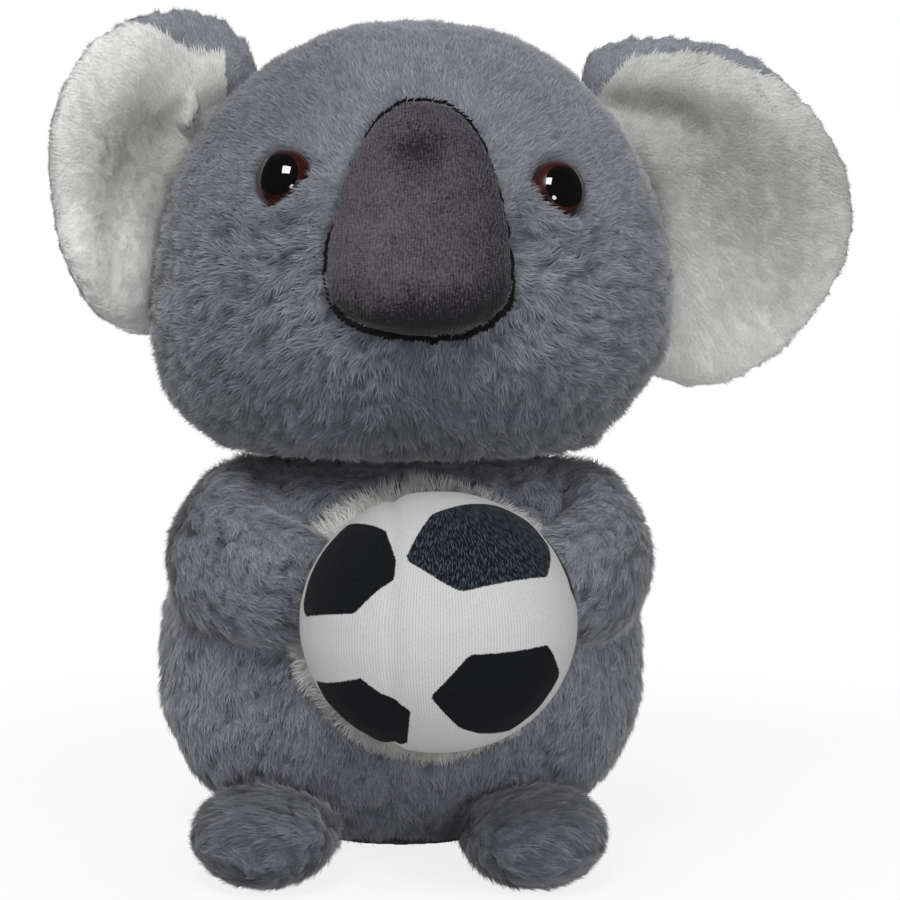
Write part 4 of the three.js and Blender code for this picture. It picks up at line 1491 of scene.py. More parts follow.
@dataclass
class BellyPatch(StuffedForm):
    """The white patch of long pile that the ball rests on."""

    name: str = "belly_patch"
    sources: tuple = ("belly_patch",)
    replaced: tuple = ("belly_patch",)
    coats: tuple = (Coat(WHITE_PILE, "white_plush", Lock.BENT, 0.37, 0.3, 0.6, 0.2, 0.4),)
    bed: BedFinish = WHITE_BED
    voxel: float = 2.0
    inset: float = 0.0
    rounds: int = 1
    swell: float = 0.0
    fill: float = 0.3
    seed: int = 51
    clumps: Clumps = Clumps(2.6, 0.7, 0.5, 0.2)
    middle: Vector = field(default_factory=lambda: mm(10, -50, 76))
    lower: float = 3.4
    lower_right: float = 1.2

    def settle_in(self, mesh: bpy.types.Mesh) -> None:
        """Lowers the patch's top under the chin.

        Args:
            mesh: the piece's mesh.
        """
        for vertex in mesh.vertices:
            right = smooth(10, 45, vertex.co.x / MM)
            drop = self.lower + self.lower_right * right
            vertex.co.z -= drop * MM * smooth(92, 114, vertex.co.z / MM)
        mesh.update()

    def comb_at(self, point: Vector, normal: Vector) -> Vector:
        """Combs the pile out from under the ball."""
        return self.swirl(point - self.middle, point, normal, 1.1)

    def pile_at(self, point: Vector, normal: Vector) -> float:
        """Long at the rim, and pressed short under the ball.

        Args:
            point: a point of the piece.
            normal: the normal there.
        Returns:
            Millimetres.
        """
        out_by = (point - self.middle).length / MM
        high = smooth(80, 105, point.z / MM) * smooth(25, 0, point.x / MM)
        short = 1.5 * smooth(66, 48, point.z / MM)
        return 3.0 - short + (1.0 + 1.7 * high) * smooth(26, 38, out_by) + wave(point, 7, 3.0)

    def lean_at(self, point: Vector, normal: Vector) -> float:
        """Lies well over."""
        return math.radians(66 + 12 * wave(point, 7, 2.0))

    def thick_at(self, point: Vector, normal: Vector) -> float:
        """Grows on the front alone, and not where the ball presses."""
        away = Vector(((point.x / MM - 11.5) / 39, (point.z / MM - 80) / 36.5))
        return float(normal.y < 0.35) * smooth(0.68, 0.76, away.length)

    def tone_at(self, point: Vector, normal: Vector) -> float:
        """Bright, with painted shadow darkening it low down, under the ball."""
        return 0.47 - 0.35 * smooth(70, 48, point.z / MM) + 0.2 * wave(point, 7, 4.0)


@dataclass(frozen=True)
class Trim:
    """A place where an ear's outline is let out or trimmed, along one axis.

    It grows from nothing to its whole amount as x and z go from the first number of their
    pair to the second. All are in millimetres.
    """

    axis: int
    amount: float
    x: tuple
    z: tuple


TRIMS = {
    Side.LEFT: (Trim(2, 9.5, (-78, -95), (185, 152)), Trim(0, -2.8, (-75, -88), (190, 235)),
                Trim(2, 3.2, (-96, -80), (218, 242)), Trim(2, -3.0, (-66, -52), (228, 242))),
    Side.RIGHT: (Trim(2, -5.5, (122, 96), (178, 144)), Trim(0, 2.4, (88, 112), (206, 176)),
                 Trim(0, -3.6, (95, 118), (196, 226))),
}


@dataclass
class Ear(StuffedForm):
    """One ear: a dished cushion, white in front, whose grey back laps over the top."""

    side: Side = Side.LEFT
    voxel: float = 2.3
    inset: float = -0.7
    rounds: int = 1
    swell: float = 0.4
    fill: float = 0.5
    dish: float = 8.0
    softening: int = 5
    half_width: float = 37.0
    half_height: float = 47.0
    clumps: Clumps = Clumps(4.0, 0.4, 0.4, 0.14)
    rim: list = field(default_factory=list)
    own: object = None

    def __post_init__(self) -> None:
        """Names the ear's parts and finds which way it faces."""
        word = self.side.word
        self.name = self.body = f"ear_{word}"
        self.sources = (f"ear_{word}_back", f"ear_{word}_lining")
        self.replaced = (f"ear_{word}_back",)
        self.around = ("head_cover",)
        self.coats = (Coat(GREY_PILE, "grey_plush"), Coat(WHITE_PILE, "white_plush"))
        self.seed = 61 + self.side.value
        back, self.centre = (self.middle(node) for node in self.sources)
        self.facing = (self.centre - back).normalized()
        self.head = tree_of(("head_cover",))
        joint = next(j for j in frame["joints"] if j["name"] == f"ear_{word}_fold")
        pivot, axis = Vector(joint["pos_m"]), Vector(joint["axis"])
        out_way = along_surface(Vector((self.side.value, 0.0, 0.0)), axis)
        self.bend = ("head", self.body, pivot - out_way * 6 * MM, pivot + out_way * 5 * MM)

    def replaced_by(self, region: int) -> tuple:
        """The white pile stands for the lining."""
        return self.sources[1:] if region else ()

    def middle(self, node: str) -> Vector:
        """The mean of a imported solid's points."""
        points = [v.co for v in frame["nodes"][node].data.vertices]
        return sum(points, Vector()) / len(points)

    def out_share(self, point: Vector) -> float:
        """How far out a point lies, from 0 in the ear's middle to 1 at its rim."""
        off = point - self.centre
        across = self.facing.cross(UP).normalized()
        return math.hypot(off.dot(across) / (self.half_width * MM), off.z / (self.half_height * MM))

    def settle_in(self, mesh: bpy.types.Mesh) -> None:
        """Dishes the ear, trims its outline, and brings its root up to the head.

        Args:
            mesh: the ear's mesh.
        """
        super().settle_in(mesh)
        hollow = self.centre + mm(0, 0, 6)
        for vertex in mesh.vertices:
            share = self.out_share(vertex.co)
            deep = bump((vertex.co - hollow).length / MM, 24)
            vertex.co -= self.facing * (self.dish * MM * deep * smooth(1.05, 0.6, share))
            x, z = vertex.co.x / MM, vertex.co.z / MM
            for trim in TRIMS[self.side]:
                vertex.co[trim.axis] += trim.amount * MM * smooth(*trim.x, x) * smooth(*trim.z, z)
        self.pull_in(mesh)
        bm = bmesh.new()
        bm.from_mesh(mesh)
        for _ in range(self.softening):
            bmesh.ops.smooth_vert(bm, verts=bm.verts, factor=0.5, use_axis_x=True,
                                  use_axis_y=True, use_axis_z=True)
        bm.to_mesh(mesh)
        bm.free()
        flat = [v.co.xz for v in mesh.vertices]
        hull = convex_hull_2d(flat)
        spots = [flat[i] for i in hull[::max(len(hull) // 30, 1)]]
        self.rim = [Vector((spot.x, 0.0, spot.y)) for spot in spots + spots[:1]]

    def pull_in(self, mesh: bpy.types.Mesh) -> None:
        """Draws the ear's root onto the head.

        Args:
            mesh: the ear's mesh.
        """
        reach = 18 if self.side is Side.LEFT else 14
        for vertex in mesh.vertices:
            most = 8 if self.side is Side.LEFT else 4.5 + 5.5 * smooth(226, 212, vertex.co.z / MM)
            spot, _, _, gap = self.head.find_nearest(vertex.co)
            close = smooth(reach, reach / 3, gap / MM)
            step = min(gap / MM + 2.4, most)
            vertex.co += (spot - vertex.co).normalized() * (step * MM * close)
        mesh.update()

    def paint(self, mesh: bpy.types.Mesh) -> None:
        """Paints the skin once it is known what of it shows from the front.

        Args:
            mesh: the piece's mesh.
        """
        bm = bmesh.new()
        bm.from_mesh(mesh)
        self.own = BVHTree.FromBMesh(bm)
        bm.free()
        super().paint(mesh)

    def shape_at(self, point: Vector, normal: Vector) -> float:
        """The deep fold that starts at the ear's root, under the roll of its top.

        Args:
            point: a point of the piece.
            normal: the normal there.
        Returns:
            Millimetres outwards.
        """
        if normal.dot(self.facing) < 0:
            return 0.0
        flat = Vector((point.x, 0.0, point.z))
        if self.side is Side.LEFT:
            fold = line_distance(flat, [mm(-54, 0, 218), mm(-66, 0, 212)])
            roll = 2.6 * bump(line_distance(flat, self.rim) - 5.0, 7)
            return roll * normal.dot(self.facing) - 4.0 * bump(fold, 8)
        fold = line_distance(flat, [mm(64, 0, 219), mm(78, 0, 217), mm(94, 0, 211)])
        roll = line_distance(flat, [mm(62, 0, 230), mm(84, 0, 230), mm(104, 0, 223)])
        deep = 5.5 * bump(fold, 6) * smooth(102, 74, point.x / MM)
        return 2.6 * bump(roll, 7) - deep

    def white_at(self, point: Vector, normal: Vector) -> float:
        """White wherever it shows from the front, but where the back laps over the top.

        Args:
            point: a point of the piece.
            normal: the normal there.
        Returns:
            1 where the pile is white, and else 0.
        """
        x, z = point.x / MM, point.z / MM
        shown = self.own.ray_cast(point + normal * 0.4 * MM, VIEW)[0] is None
        if self.side is Side.LEFT:
            lapped = z > 245.3 - 9 * smooth(-76, -58, x) or (x > -52 and z > 220)
            edge = Vector((point.x, 0.0, point.z))
            turned_over = x < -70 and line_distance(edge, self.rim) < 2.5
            return float((shown or turned_over) and not lapped)
        top = min(224.3 + (x - 59.7) * 1.32, 234.2 + (x - 67.2) * 0.2, 236.3,
                  236.3 - (x - 89.7) * 0.35)
        return float(shown and not (z > top and x < 118))

    def comb_at(self, point: Vector, normal: Vector) -> Vector:
        """Combs the pile from the root to the rim."""
        root = mm(self.side.value * 60, 10, 200)
        return self.swirl(point - root, point, normal, 0.35)

    def pile_at(self, point: Vector, normal: Vector) -> float:
        """Short and even, shorter still along the rim."""
        rim = bump(line_distance(Vector((point.x, 0.0, point.z)), self.rim), 5)
        return 2.2 + 0.3 * wave(point, 10, 3.0) - 0.7 * rim

    def lean_at(self, point: Vector, normal: Vector) -> float:
        """Brushed down."""
        return math.radians(73 + 5 * wave(point, 9, 7.0))

    def fluff_at(self, point: Vector, normal: Vector) -> float:
        """Hardly any clumps on the white front."""
        return 0.5 - 0.4 * self.white_at(point, normal)

    def tone_at(self, point: Vector, normal: Vector) -> float:
        """Painted shade in the white hollow and on the right lining's upper half, painted light low down and
        towards the rim; the back is even.

        Args:
            point: a point of the piece.
            normal: the normal there.
        Returns:
            The tone, from 0 for the darkest locks to 1 for the lightest.
        """
        if not self.white_at(point, normal):
            return 0.98 + 0.06 * wave(point, 14, 4.0)
        # Painted light low down, where the lining faces up, and towards the rim.
        low = smooth(205, 150, point.z / MM)
        rim = smooth(0.45, 1.0, self.out_share(point))
        if self.side is Side.LEFT:
            # Painted shade in the hollow of the left ear.
            hollow = bump(math.hypot(point.x / MM + 76, (point.z / MM - 212) * 0.75), 15)
            base = 0.56 + 1.0 * low - 0.4 * hollow
        else:
            # Painted shade on the right lining's upper half, under the roll.
            base = 0.1 + 0.4 * low
        return base + 0.3 * rim + 0.05 * wave(point, 9, 4.0)

    def region_at(self, point: Vector, normal: Vector) -> int:
        """The grey pile and the white pile."""
        return int(self.white_at(point, normal) > 0.5)


@dataclass
class BasePanel:
    """The small oval panel that closes the seat."""

    node: str = "base_panel"
    voxel: float = 0.9

    def build(self) -> None:
        """Builds the panel with a soft edge."""
        panel = link_object("base_panel_cloth", to_mesh(solid_copy(self.node), "base_panel"))
        add_modifier(panel, "REMESH", voxel_size=self.voxel * MM, use_smooth_shade=True)
        settle_modifiers(panel)
        finish_piece(panel, dressed(GREY_BED), "torso", (self.node,))


@dataclass
class Football:
    """The stuffed ball, with the printed patches of a classic football."""

    centre: tuple = (11.5, -85.8, 80.0)
    radii: tuple = (39.0, 36.0, 36.5)
    cuts: int = 5
    seam_at: float = -12.5
    seam_depth: float = 1.1
    seam_width: float = 1.7
    mean_radius: float = 37.0
    girth_radius: float = 38.0
    patch_size: float = 0.42

    def build(self) -> None:
        """Builds the ball from a cube, cut fine and blown round, and prints its patches."""
        bm = bmesh.new()
        bmesh.ops.create_cube(bm, size=2.0)
        for _ in range(self.cuts):
            bmesh.ops.subdivide_edges(bm, edges=bm.edges, cuts=1, use_grid_fill=True)
        cover = tree_of(("ball_cover",))
        middle = mm(*self.centre)
        for vertex in bm.verts:
            way = self.rounded(vertex.co)
            ray = Vector([c * r for c, r in zip(way, self.radii)]).normalized()
            hit = cover.ray_cast(middle + ray * 0.1, -ray)[0]
            vertex.co = hit if hit else middle + ray * self.radii[1] * MM
        ball = link_object("football", to_mesh(bm, "football"))
        add_modifier(ball, "SMOOTH", factor=0.5, iterations=12)
        settle_modifiers(ball)
        move_points(ball.data, self.drawn_in)
        self.print_patches(ball.data)
        finish_piece(ball, dressed(PrintedKnitFinish()), "torso",
                     ("ball_cover", "ball_filling"))

    def rounded(self, corner: Vector) -> Vector:
        """Spreads the cube's points evenly over a sphere."""
        return Vector([math.tan(c * math.pi / 4) for c in corner]).normalized()

    def drawn_in(self, point: Vector, normal: Vector) -> float:
        """The seam that runs over the ball."""
        front = smooth(-60, -80, point.y / MM)
        away = point.x / MM - self.centre[0] - self.seam_at
        return 0.25 - self.seam_depth * front * bump(away, self.seam_width)

    def patches(self) -> list:
        """The printed patches, each by its wear and the directions of its corners.

        Returns:
            For each patch, its wear and its corners' directions.
        """
        upper_left = [(-27, 1, 27), (-14.3, -18.5, 28.3), (-11.5, -27, 21.6),
                      (-12.2, -29.9, 16.8), (-22.3, -28.7, 7), (-36.2, -12.9, 3.6),
                      (-37.6, -4.9, 8.4), (-33.6, -4, 17.3)]
        upper_right = [(-1.7, -16, 32.6), (6.5, -10.5, 34.4), (16.5, -2.4, 33),
                       (24.6, 1.5, 28.1), (30.3, -4.8, 22.4), (30.7, -11.5, 19.2),
                       (29.2, -18.5, 15.3), (6.2, -32.9, 13.7), (1, -32.2, 16.4),
                       (-9, -27.7, 21.7)]
        lower_left = [(-33.6, -11.8, -14.3), (-20.7, -28.8, -10.3), (-7.4, -29.8, -19.2),
                      (-8.4, -18.4, -30.4), (-11.2, -13.4, -32.2), (-19.4, -3, -31),
                      (-27.6, -4, -24)]
        lower_right = [(8.3, -35, -3.1), (29.1, -23.9, -2.1), (32.9, -15.2, -12),
                       (26, -15, -23), (19.9, -16, -28), (11.4, -22, -27.5),
                       (5.9, -25.6, -25), (-2.2, -32.7, -15.1)]
        rows = [(Patch.RUBBED, upper_left), (Patch.WORN, upper_right),
                (Patch.SOLID, lower_left), (Patch.SOLID, lower_right)]
        for way in ((38, 8, 14), (0, 24, 28), (36, 10, -20), (-36, 14, -10), (-4, 20, -32)):
            rows.append((Patch.SOLID, self.five_sided(Vector(way).normalized())))
        return rows

    def five_sided(self, way: Vector) -> list:
        """Lays out a regular five-sided patch.

        Args:
            way: the direction that it faces, from the ball's middle.
        Returns:
            Its corners.
        """
        edge = way.orthogonal().normalized() * self.patch_size
        return [way + turned(edge, way, math.tau * at / 5) for at in range(5)]

    def print_patches(self, mesh: bpy.types.Mesh) -> None:
        """Writes the ink, its wear and the run of the knit onto the ball's points.

        Args:
            mesh: the ball's mesh.
        """
        middle = mm(*self.centre)
        planes = []
        for wear, corners in self.patches():
            units = [Vector(c).normalized() for c in corners]
            inside = sum(units, Vector()).normalized()
            sides = [a.cross(b).normalized() for a, b in zip(units, units[1:] + units[:1])]
            planes.append((wear, [s if s.dot(inside) > 0 else -s for s in sides]))
        ink, worn, knit = [], [], []
        for vertex in mesh.vertices:
            way = (vertex.co - middle).normalized()
            best, wear = -9.0, Patch.SOLID
            for kind, sides in planes:
                reach = min(math.asin(max(min(way.dot(s), 1), -1)) for s in sides)
                reach *= self.mean_radius
                if reach > best:
                    best, wear = reach, kind
            rubbed = smooth(-20, -9, (vertex.co - middle).x / MM)
            ink.append(best)
            worn.append(rubbed * 0.55 if wear is Patch.RUBBED else wear.value)
            turn = math.atan2(way.x, -way.y)
            knit.extend((turn * self.girth_radius * MM, (vertex.co - middle).z, 0.0))
        store_values(mesh, "ink", ink)
        store_values(mesh, "worn", worn)
        store_values(mesh, "knit", knit, width=3)


@dataclass(frozen=True)
class StitchRun:
    """A run of like stitches along the nose's edge.

    The run goes from one angle to another, in degrees anticlockwise from the nose's right.
    The slant is 0 for stitches along the edge and 90 for stitches across it.
    """

    start: float
    end: float
    step: float
    length: float
    slant: float
    thick: float


@dataclass
class Nose:
    """The padded velour nose and the black stitches that hold its edge."""

    voxel: float = 1.5
    crown: float = 2.6
    half_width: float = 24.0
    half_height: float = 33.0
    dimple: Vector = field(default_factory=lambda: mm(5, -66, 211))
    middle: Vector = field(default_factory=lambda: mm(6.5, -70, 188))
    runs: tuple = (StitchRun(214, 330, 0.26, 2.2, 74, 0.8),
                   StitchRun(-32, 60, 1.0, 2.4, 12, 0.9),
                   StitchRun(-32, 60, 3.7, 1.6, 60, 0.3),
                   StitchRun(60, 128, 1.7, 2.4, 14, 0.95),
                   StitchRun(60, 128, 1.6, 2.6, 62, 0.5),
                   StitchRun(174, 198, 0.7, 2.4, 16, 1.1),
                   StitchRun(198, 214, 1.2, 1.8, 40, 0.6),
                   StitchRun(128, 172, 4.2, 1.6, 20, 0.4))

    def build(self) -> None:
        """Builds the pad and its stitches."""
        pad = link_object("nose_cushion", to_mesh(solid_copy("nose_pad"), "nose"))
        add_modifier(pad, "REMESH", voxel_size=self.voxel * MM, use_smooth_shade=True)
        add_modifier(pad, "SMOOTH", factor=0.5, iterations=4)
        add_modifier(pad, "SUBSURF", levels=1, render_levels=1)
        settle_modifiers(pad)
        move_points(pad.data, self.pressed)
        # Paints light and shade onto the pad.
        store_values(pad.data, "brushed", [self.brushed(v.co) for v in pad.data.vertices])
        finish_piece(pad, dressed(VelourFinish()), "head", ("nose_pad",))
        self.stitch()

    def pressed(self, point: Vector, normal: Vector) -> float:
        """The crown of the nose, with a dimple near its top.

        Args:
            point: a point of the piece.
            normal: the normal there.
        Returns:
            Millimetres outwards.
        """
        off = (point - self.middle) / MM
        crown = max(1 - (off.x / self.half_width) ** 2 - (off.z / self.half_height) ** 2, 0.0)
        side = 1.7 * normal.x * normal.x + 2.6 * max(normal.z, 0.0)
        pit = bump((point - self.dimple).length / MM, 7.5)
        return 0.3 + side + self.crown * crown - self.crown * pit

    def brushed(self, point: Vector) -> float:
        """The painted light and shade of the nose: lighter at the upper left, with painted shade low down,
        to the right and in the dimple.

        Args:
            point: a point of the piece.
        Returns:
            What is added to the tone of the nap.
        """
        off = (point - self.middle) / MM
        shade_low_right = 1.5 * smooth(-10, -30, off.z) + 0.5 * smooth(8, 26, off.x)
        pit = bump((point - self.dimple).length / MM, 8.0)
        return 0.25 + 0.1 * smooth(5, -15, off.x) - 0.42 * shade_low_right - 0.32 * pit

    def edge(self) -> list:
        """The nose's edge on the head, as a closed smooth path.

        Returns:
            The path's points.
        """
        bins = [[] for _ in range(60)]
        for vertex in frame["nodes"]["nose_stitching"].data.vertices:
            angle = self.angle_of(vertex.co)
            bins[int(angle / 360 * len(bins)) % len(bins)].append(vertex.co)
        path = [sum(row, Vector()) / len(row) for row in bins if row]
        for _ in range(3):
            pairs = list(zip(path, path[1:] + path[:1]))
            path = [p for a, b in pairs for p in (a.lerp(b, 0.25), a.lerp(b, 0.75))]
        return path

    def angle_of(self, point: Vector) -> float:
        """The angle of a point round the nose, in degrees from its right."""
        off = point - self.middle
        return math.degrees(math.atan2(off.z / 1.25, off.x)) % 360

    def stitch(self) -> None:
        """Sews the edge with its runs of stitches."""
        bm = bmesh.new()
        path, chance = self.edge(), np.random.default_rng(7)
        head = tree_of(("head_cover",))
        for run in self.runs:
            walked = 0.0
            for here, there in zip(path, path[1:] + path[:1]):
                walked += (there - here).length / MM
                angle = self.angle_of(here)
                inside = run.start <= angle <= run.end or run.start <= angle - 360 <= run.end
                if walked < run.step or not inside:
                    continue
                walked = 0.0
                rise = head.find_nearest(here)[1]
                rise = rise if rise.y < 0 else -rise
                self.sew(bm, here, along_surface(there - here, rise), rise, run, chance)
        thread = link_object("nose_thread", to_mesh(bm, "thread"))
        finish_piece(thread, dressed(ThreadFinish()), "head",
                     ("nose_stitching",))

    def sew(self, bm: bmesh.types.BMesh, here: Vector, along: Vector, rise: Vector,
            run: StitchRun, chance: np.random.Generator) -> None:
        """Makes one stitch: a short length of thread drawn down at both ends.

        Args:
            bm: the mesh of all the thread.
            here: where the stitch is.
            along: the way of the nose's edge there.
            rise: the way off the head.
            run: the run that it belongs to.
            chance: what varies it.
        """
        slant = math.radians(run.slant + chance.uniform(-14, 14))
        way = turned(along, rise, slant)
        size = Vector((run.length * chance.uniform(0.75, 1.25) / 2, run.thick / 2,
                       run.thick / 2)) * MM
        turn = Matrix((way, rise.cross(way), rise)).transposed().to_4x4()
        inward = along_surface(self.middle - here, rise)
        spot = here + (rise * 2.0 - inward * 0.5 + way * chance.uniform(-0.3, 0.3)) * MM
        bmesh.ops.create_uvsphere(bm, u_segments=6, v_segments=6, radius=1.0,
                                  matrix=Matrix.Translation(spot) @ turn
                                  @ Matrix.Diagonal((*size, 1.0)))


@dataclass
class Eye:
    """One safety eye: a domed brown ring with a black pupil set into it."""

    side: Side = Side.LEFT
    ring_radius: float = 8.5
    pupil_radius: float = 6.2
    shank_radius: float = 2.2
    dome_height: float = 4.2
    ring_edge: float = 1.0
    bevel: float = 0.6
    seat_depth: float = 1.2
    pupil_depth: float = 1.1
    ease: float = 0.04

    def build(self) -> None:
        """Builds the ring and the pupil by turning, and dresses the hidden washer."""
        word = self.side.word
        seat = self.middle(f"eye_{word}_washer")
        axis = (self.middle(f"eye_{word}_pupil") - seat).normalized()
        ring_top = self.reach(f"eye_{word}_ring", axis)
        pupil_top = self.reach(f"eye_{word}_pupil", axis)
        base = self.reach(f"eye_{word}_ring", axis, low=True)
        low = ring_top - self.dome_height
        self.turn(f"eye_{word}_iris", seat, axis, self.ring_profile(base, low, pupil_top),
                  MouldedFinish("abs_moulded_brown", "#360f08", "#200704", 0.22, 0.0),
                  "brown_plastic", (f"eye_{word}_ring",))
        self.turn(f"eye_{word}_black", seat, axis, self.pupil_profile(low, pupil_top),
                  MouldedFinish("abs_moulded_black", "#040405", "#020202", 0.03),
                  "black_plastic", (f"eye_{word}_pupil",))
        washer = frame["nodes"][f"eye_{word}_washer"]
        finish = MouldedFinish("polypropylene_washer", "#e4e4e0", "#d2d2cd", 0.3, 0.0)
        washer.data.materials.clear()
        washer.data.materials.append(dressed(finish))

    def middle(self, node: str) -> Vector:
        """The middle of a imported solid's box."""
        low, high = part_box(node)
        return (low + high) / 2

    def reach(self, node: str, axis: Vector, low: bool = False) -> float:
        """Finds how far a solid reaches along the eye's axis.

        Args:
            node: the solid's name.
            axis: the axis, outwards.
            low: whether its lower end is meant.
        Returns:
            The millimetres from the washer.
        """
        seat = self.middle(f"eye_{self.side.word}_washer")
        rows = [(v.co - seat).dot(axis) / MM for v in frame["nodes"][node].data.vertices]
        return min(rows) if low else max(rows)

    def dome(self, low: float, top: float, radius: float) -> float:
        """The eye's one smooth dome.

        Args:
            low: the height of its rim.
            top: its own height.
            radius: the distance from the axis.
        Returns:
            The height there, in millimetres.
        """
        share = min(radius / (self.ring_radius + 0.05), 1.0)
        return low + (top - low) * math.sqrt(1 - share * share)

    def ring_profile(self, base: float, low: float, top: float) -> list:
        """The ring's half section: a shank, a flat back, and the dome with a seat in it.

        Args:
            base: the shank's lower end.
            low: the height of the dome's rim.
            top: the height of the dome.
        Returns:
            Rows of radius and height, in millimetres.
        """
        back, shank = low - self.ring_edge, self.shank_radius
        rows = [(0.0, base), (shank, base), (shank, back), (self.ring_radius - self.bevel, back)]
        inner = self.pupil_radius + self.ease
        for step in range(11):
            radius = self.ring_radius + (inner - self.ring_radius) * (step / 10) ** 1.5
            rows.append((radius, self.dome(low, top, radius)))
        rows.insert(-1, (inner + 0.03, self.dome(low, top, inner + 0.03)))
        seat = self.dome(low, top, inner) - self.seat_depth
        return rows + [(inner, seat), (0.0, seat)]

    def pupil_profile(self, low: float, top: float) -> list:
        """The pupil's half section: the middle of the dome.

        Args:
            low: the height of the dome's rim.
            top: the height of the dome.
        Returns:
            Rows of radius and height, in millimetres.
        """
        under = self.dome(low, top, self.pupil_radius) - self.pupil_depth
        rows = [(0.0, under), (self.pupil_radius, under)]
        for step in range(13):
            radius = self.pupil_radius * math.cos(math.radians(90 * step / 12))
            rows.append((radius, self.dome(low, top, radius)))
        return rows

    def turn(self, name: str, seat: Vector, axis: Vector, rows: list,
             finish: MouldedFinish, slot: str, replaced: tuple) -> None:
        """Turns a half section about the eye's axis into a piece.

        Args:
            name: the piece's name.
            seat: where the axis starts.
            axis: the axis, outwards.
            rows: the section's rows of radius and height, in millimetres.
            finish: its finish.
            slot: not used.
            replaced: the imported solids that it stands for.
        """
        bm = bmesh.new()
        points = [bm.verts.new((radius * MM, 0.0, height * MM)) for radius, height in rows]
        edges = [bm.edges.new(pair) for pair in zip(points, points[1:])]
        bmesh.ops.spin(bm, geom=points + edges, cent=(0, 0, 0), axis=(0, 0, 1),
                       angle=math.tau, steps=48, use_merge=True)
        bmesh.ops.remove_doubles(bm, verts=bm.verts, dist=WELD)
        bmesh.ops.recalc_face_normals(bm, faces=bm.faces)
        place = Matrix.Translation(seat) @ axis.to_track_quat("Z", "Y").to_matrix().to_4x4()
        bmesh.ops.transform(bm, matrix=place, verts=bm.verts)
        piece = link_object(name, to_mesh(bm, name))
        finish_piece(piece, dressed(finish), "head", replaced)


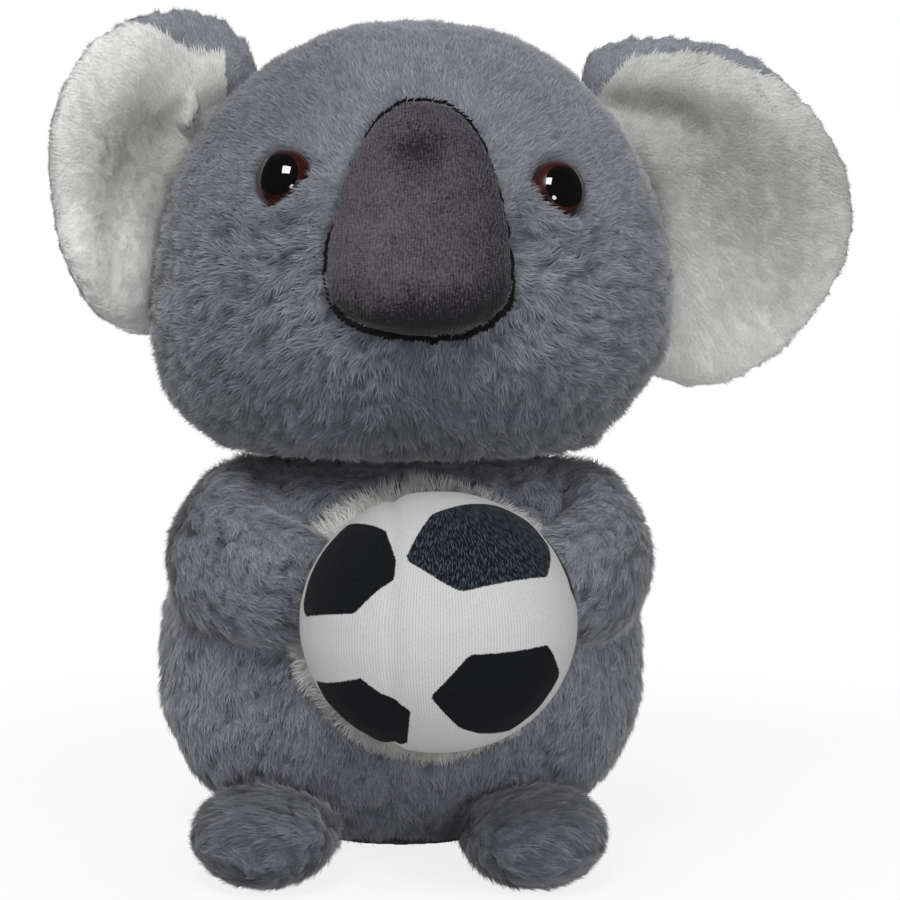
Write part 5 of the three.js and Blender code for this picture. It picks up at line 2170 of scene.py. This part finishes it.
@dataclass
class Studio:
    """A pale floor, soft lamps and the camera."""

    aim: tuple = (14.7, 0.0, 117.8)
    away: float = 1150.0
    height: float = 7.0
    lens: float = 153.3
    sensor: float = 36.0
    lit: tuple = (8, -40, 150)

    def build(self) -> None:
        """Sets the whole studio up."""
        self.camera()
        self.lamp("key", -15, 48, 1.15, (0.46, 0.46), 8.5)
        self.lamp("low", 9, -4.5, 0.7, (0.17, 0.17), 0.75, "DISK")
        for row in (("wing", 32, 20, 1.3, (0.9, 0.9), 7.8), ("side", -85, 12, 1.3, (0.9, 0.9), 3.2),
                    ("rear", 170, 35, 1.4, (1.0, 1.0), 6.0)):
            self.lamp(*row).visible_glossy = False
        self.floor()
        self.world()
        bpy.context.scene.view_settings.view_transform = "Standard"

    def camera(self) -> None:
        """Stands the camera where the photograph was taken from."""
        data = bpy.data.cameras.new("camera")
        data.lens, data.sensor_width = self.lens, self.sensor
        data.clip_start, data.clip_end = 0.05, 100.0
        camera = bpy.data.objects.new("camera", data)
        bpy.context.scene.collection.objects.link(camera)
        tilt = math.radians(self.height)
        way = Vector((0.0, -math.cos(tilt), math.sin(tilt)))
        camera.location = mm(*self.aim) + way * self.away * MM
        camera.rotation_euler = (-way).to_track_quat("-Z", "Y").to_euler()
        bpy.context.scene.camera = camera

    def lamp(self, name: str, around: float, up: float, away: float, size: tuple,
             power: float, shape: str = "RECTANGLE") -> bpy.types.Object:
        """Hangs one soft lamp that faces the toy, out of the camera's sight.

        Args:
            name: its name.
            around: its angle round the toy, in degrees from the front.
            up: its angle above the floor's plane, in degrees.
            away: its distance, in metres.
            size: its width and height, in metres.
            power: its power, in watts.
            shape: its shape.
        Returns:
            The lamp.
        """
        data = bpy.data.lights.new(name, "AREA")
        data.shape, data.size, data.size_y, data.energy = shape, size[0], size[1], power
        lamp = bpy.data.objects.new(name, data)
        bpy.context.scene.collection.objects.link(lamp)
        turn, rise = math.radians(around), math.radians(up)
        way = Vector((math.sin(turn) * math.cos(rise), -math.cos(turn) * math.cos(rise),
                      math.sin(rise)))
        lamp.location = mm(*self.lit) + way * away
        lamp.rotation_euler = (-way).to_track_quat("-Z", "Y").to_euler()
        lamp.visible_camera = False
        return lamp

    def floor(self) -> None:
        """Lays a pale floor that shows white and keeps the toy's shadow.

        The eyes don't mirror it: they are the toy's only gloss, and as black as in life.
        """
        bm = bmesh.new()
        bmesh.ops.create_grid(bm, x_segments=8, y_segments=8, size=30.0)
        floor = link_object("floor", to_mesh(bm, "floor"))
        material, tree = start_material("matt_painted_board")
        board = add_node(tree, "ShaderNodeBsdfDiffuse", {"Color": "#e6e6e6"})
        white = add_node(tree, "ShaderNodeEmission", {"Strength": 1.0})
        place = add_node(tree, "ShaderNodeTexCoord")
        away = add_node(tree, VECTORS, [out(place, "Object")], operation="LENGTH")
        far = add_node(tree, RANGE, {"Value": away, "From Min": 0.1, "From Max": 0.34,
                                     "To Min": 0.84, "To Max": 1.0})
        share = add_node(tree, MATH, [self.seen(tree), far], operation="MULTIPLY")
        both = add_node(tree, "ShaderNodeMixShader", [share, board, white])
        add_node(tree, "ShaderNodeOutputMaterial", {"Surface": both})
        floor.data.materials.append(material)
        floor.visible_glossy = False

    def seen(self, tree: object) -> object:
        """Finds the rays that the eye follows: straight, mirrored or through glass.

        Args:
            tree: the floor's tree.
        Returns:
            The node that gives 1 for them.
        """
        path = add_node(tree, "ShaderNodeLightPath")
        mirrored = add_node(tree, MATH, [out(path, "Is Glossy Ray"),
                                         out(path, "Is Transmission Ray")],
                            operation="MAXIMUM")
        return add_node(tree, MATH, [out(path, "Is Camera Ray"), mirrored],
                        operation="MAXIMUM")

    def world(self) -> None:
        """Surrounds the toy with even soft light, seen as white.

        The moulded eyes mirror the room in front of them, which is dim, so that they stay
        as black as the real ones. The toy has no metal and no glass.
        """
        world = bpy.data.worlds.new("studio")
        bpy.context.scene.world = world
        world.use_nodes = True
        tree = world.node_tree
        tree.nodes.clear()
        path = add_node(tree, "ShaderNodeLightPath")
        straight = add_node(tree, MATH, [out(path, "Is Camera Ray"),
                                         out(path, "Is Transmission Ray")],
                            operation="MAXIMUM")
        base = add_node(tree, MATH, [out(path, "Is Glossy Ray"), -0.25, 0.3],
                        operation="MULTIPLY_ADD")
        strength = add_node(tree, MATH, [straight, 0.7, base], operation="MULTIPLY_ADD")
        sky = add_node(tree, "ShaderNodeBackground", {"Color": (1.0, 1.0, 1.0, 1.0),
                                                      "Strength": strength})
        add_node(tree, "ShaderNodeOutputWorld", {"Surface": sky})


def main() -> None:
    """Builds the studio, then the toy from the body outwards."""
    logging.basicConfig(level=logging.INFO, format="%(name)s %(message)s")
    LOCKS.update({kind: make_lock(kind) for kind in Lock})
    Studio().build()
    Torso().build()
    BasePanel().build()
    BellyPatch().build()
    Football().build()
    Head().build()
    Nose().build()
    for side in Side:
        Arm(side=side).build()
        Foot(side=side).build()
        Ear(side=side).build()
        Eye(side=side).build()


if __name__ == "__main__":
    main()
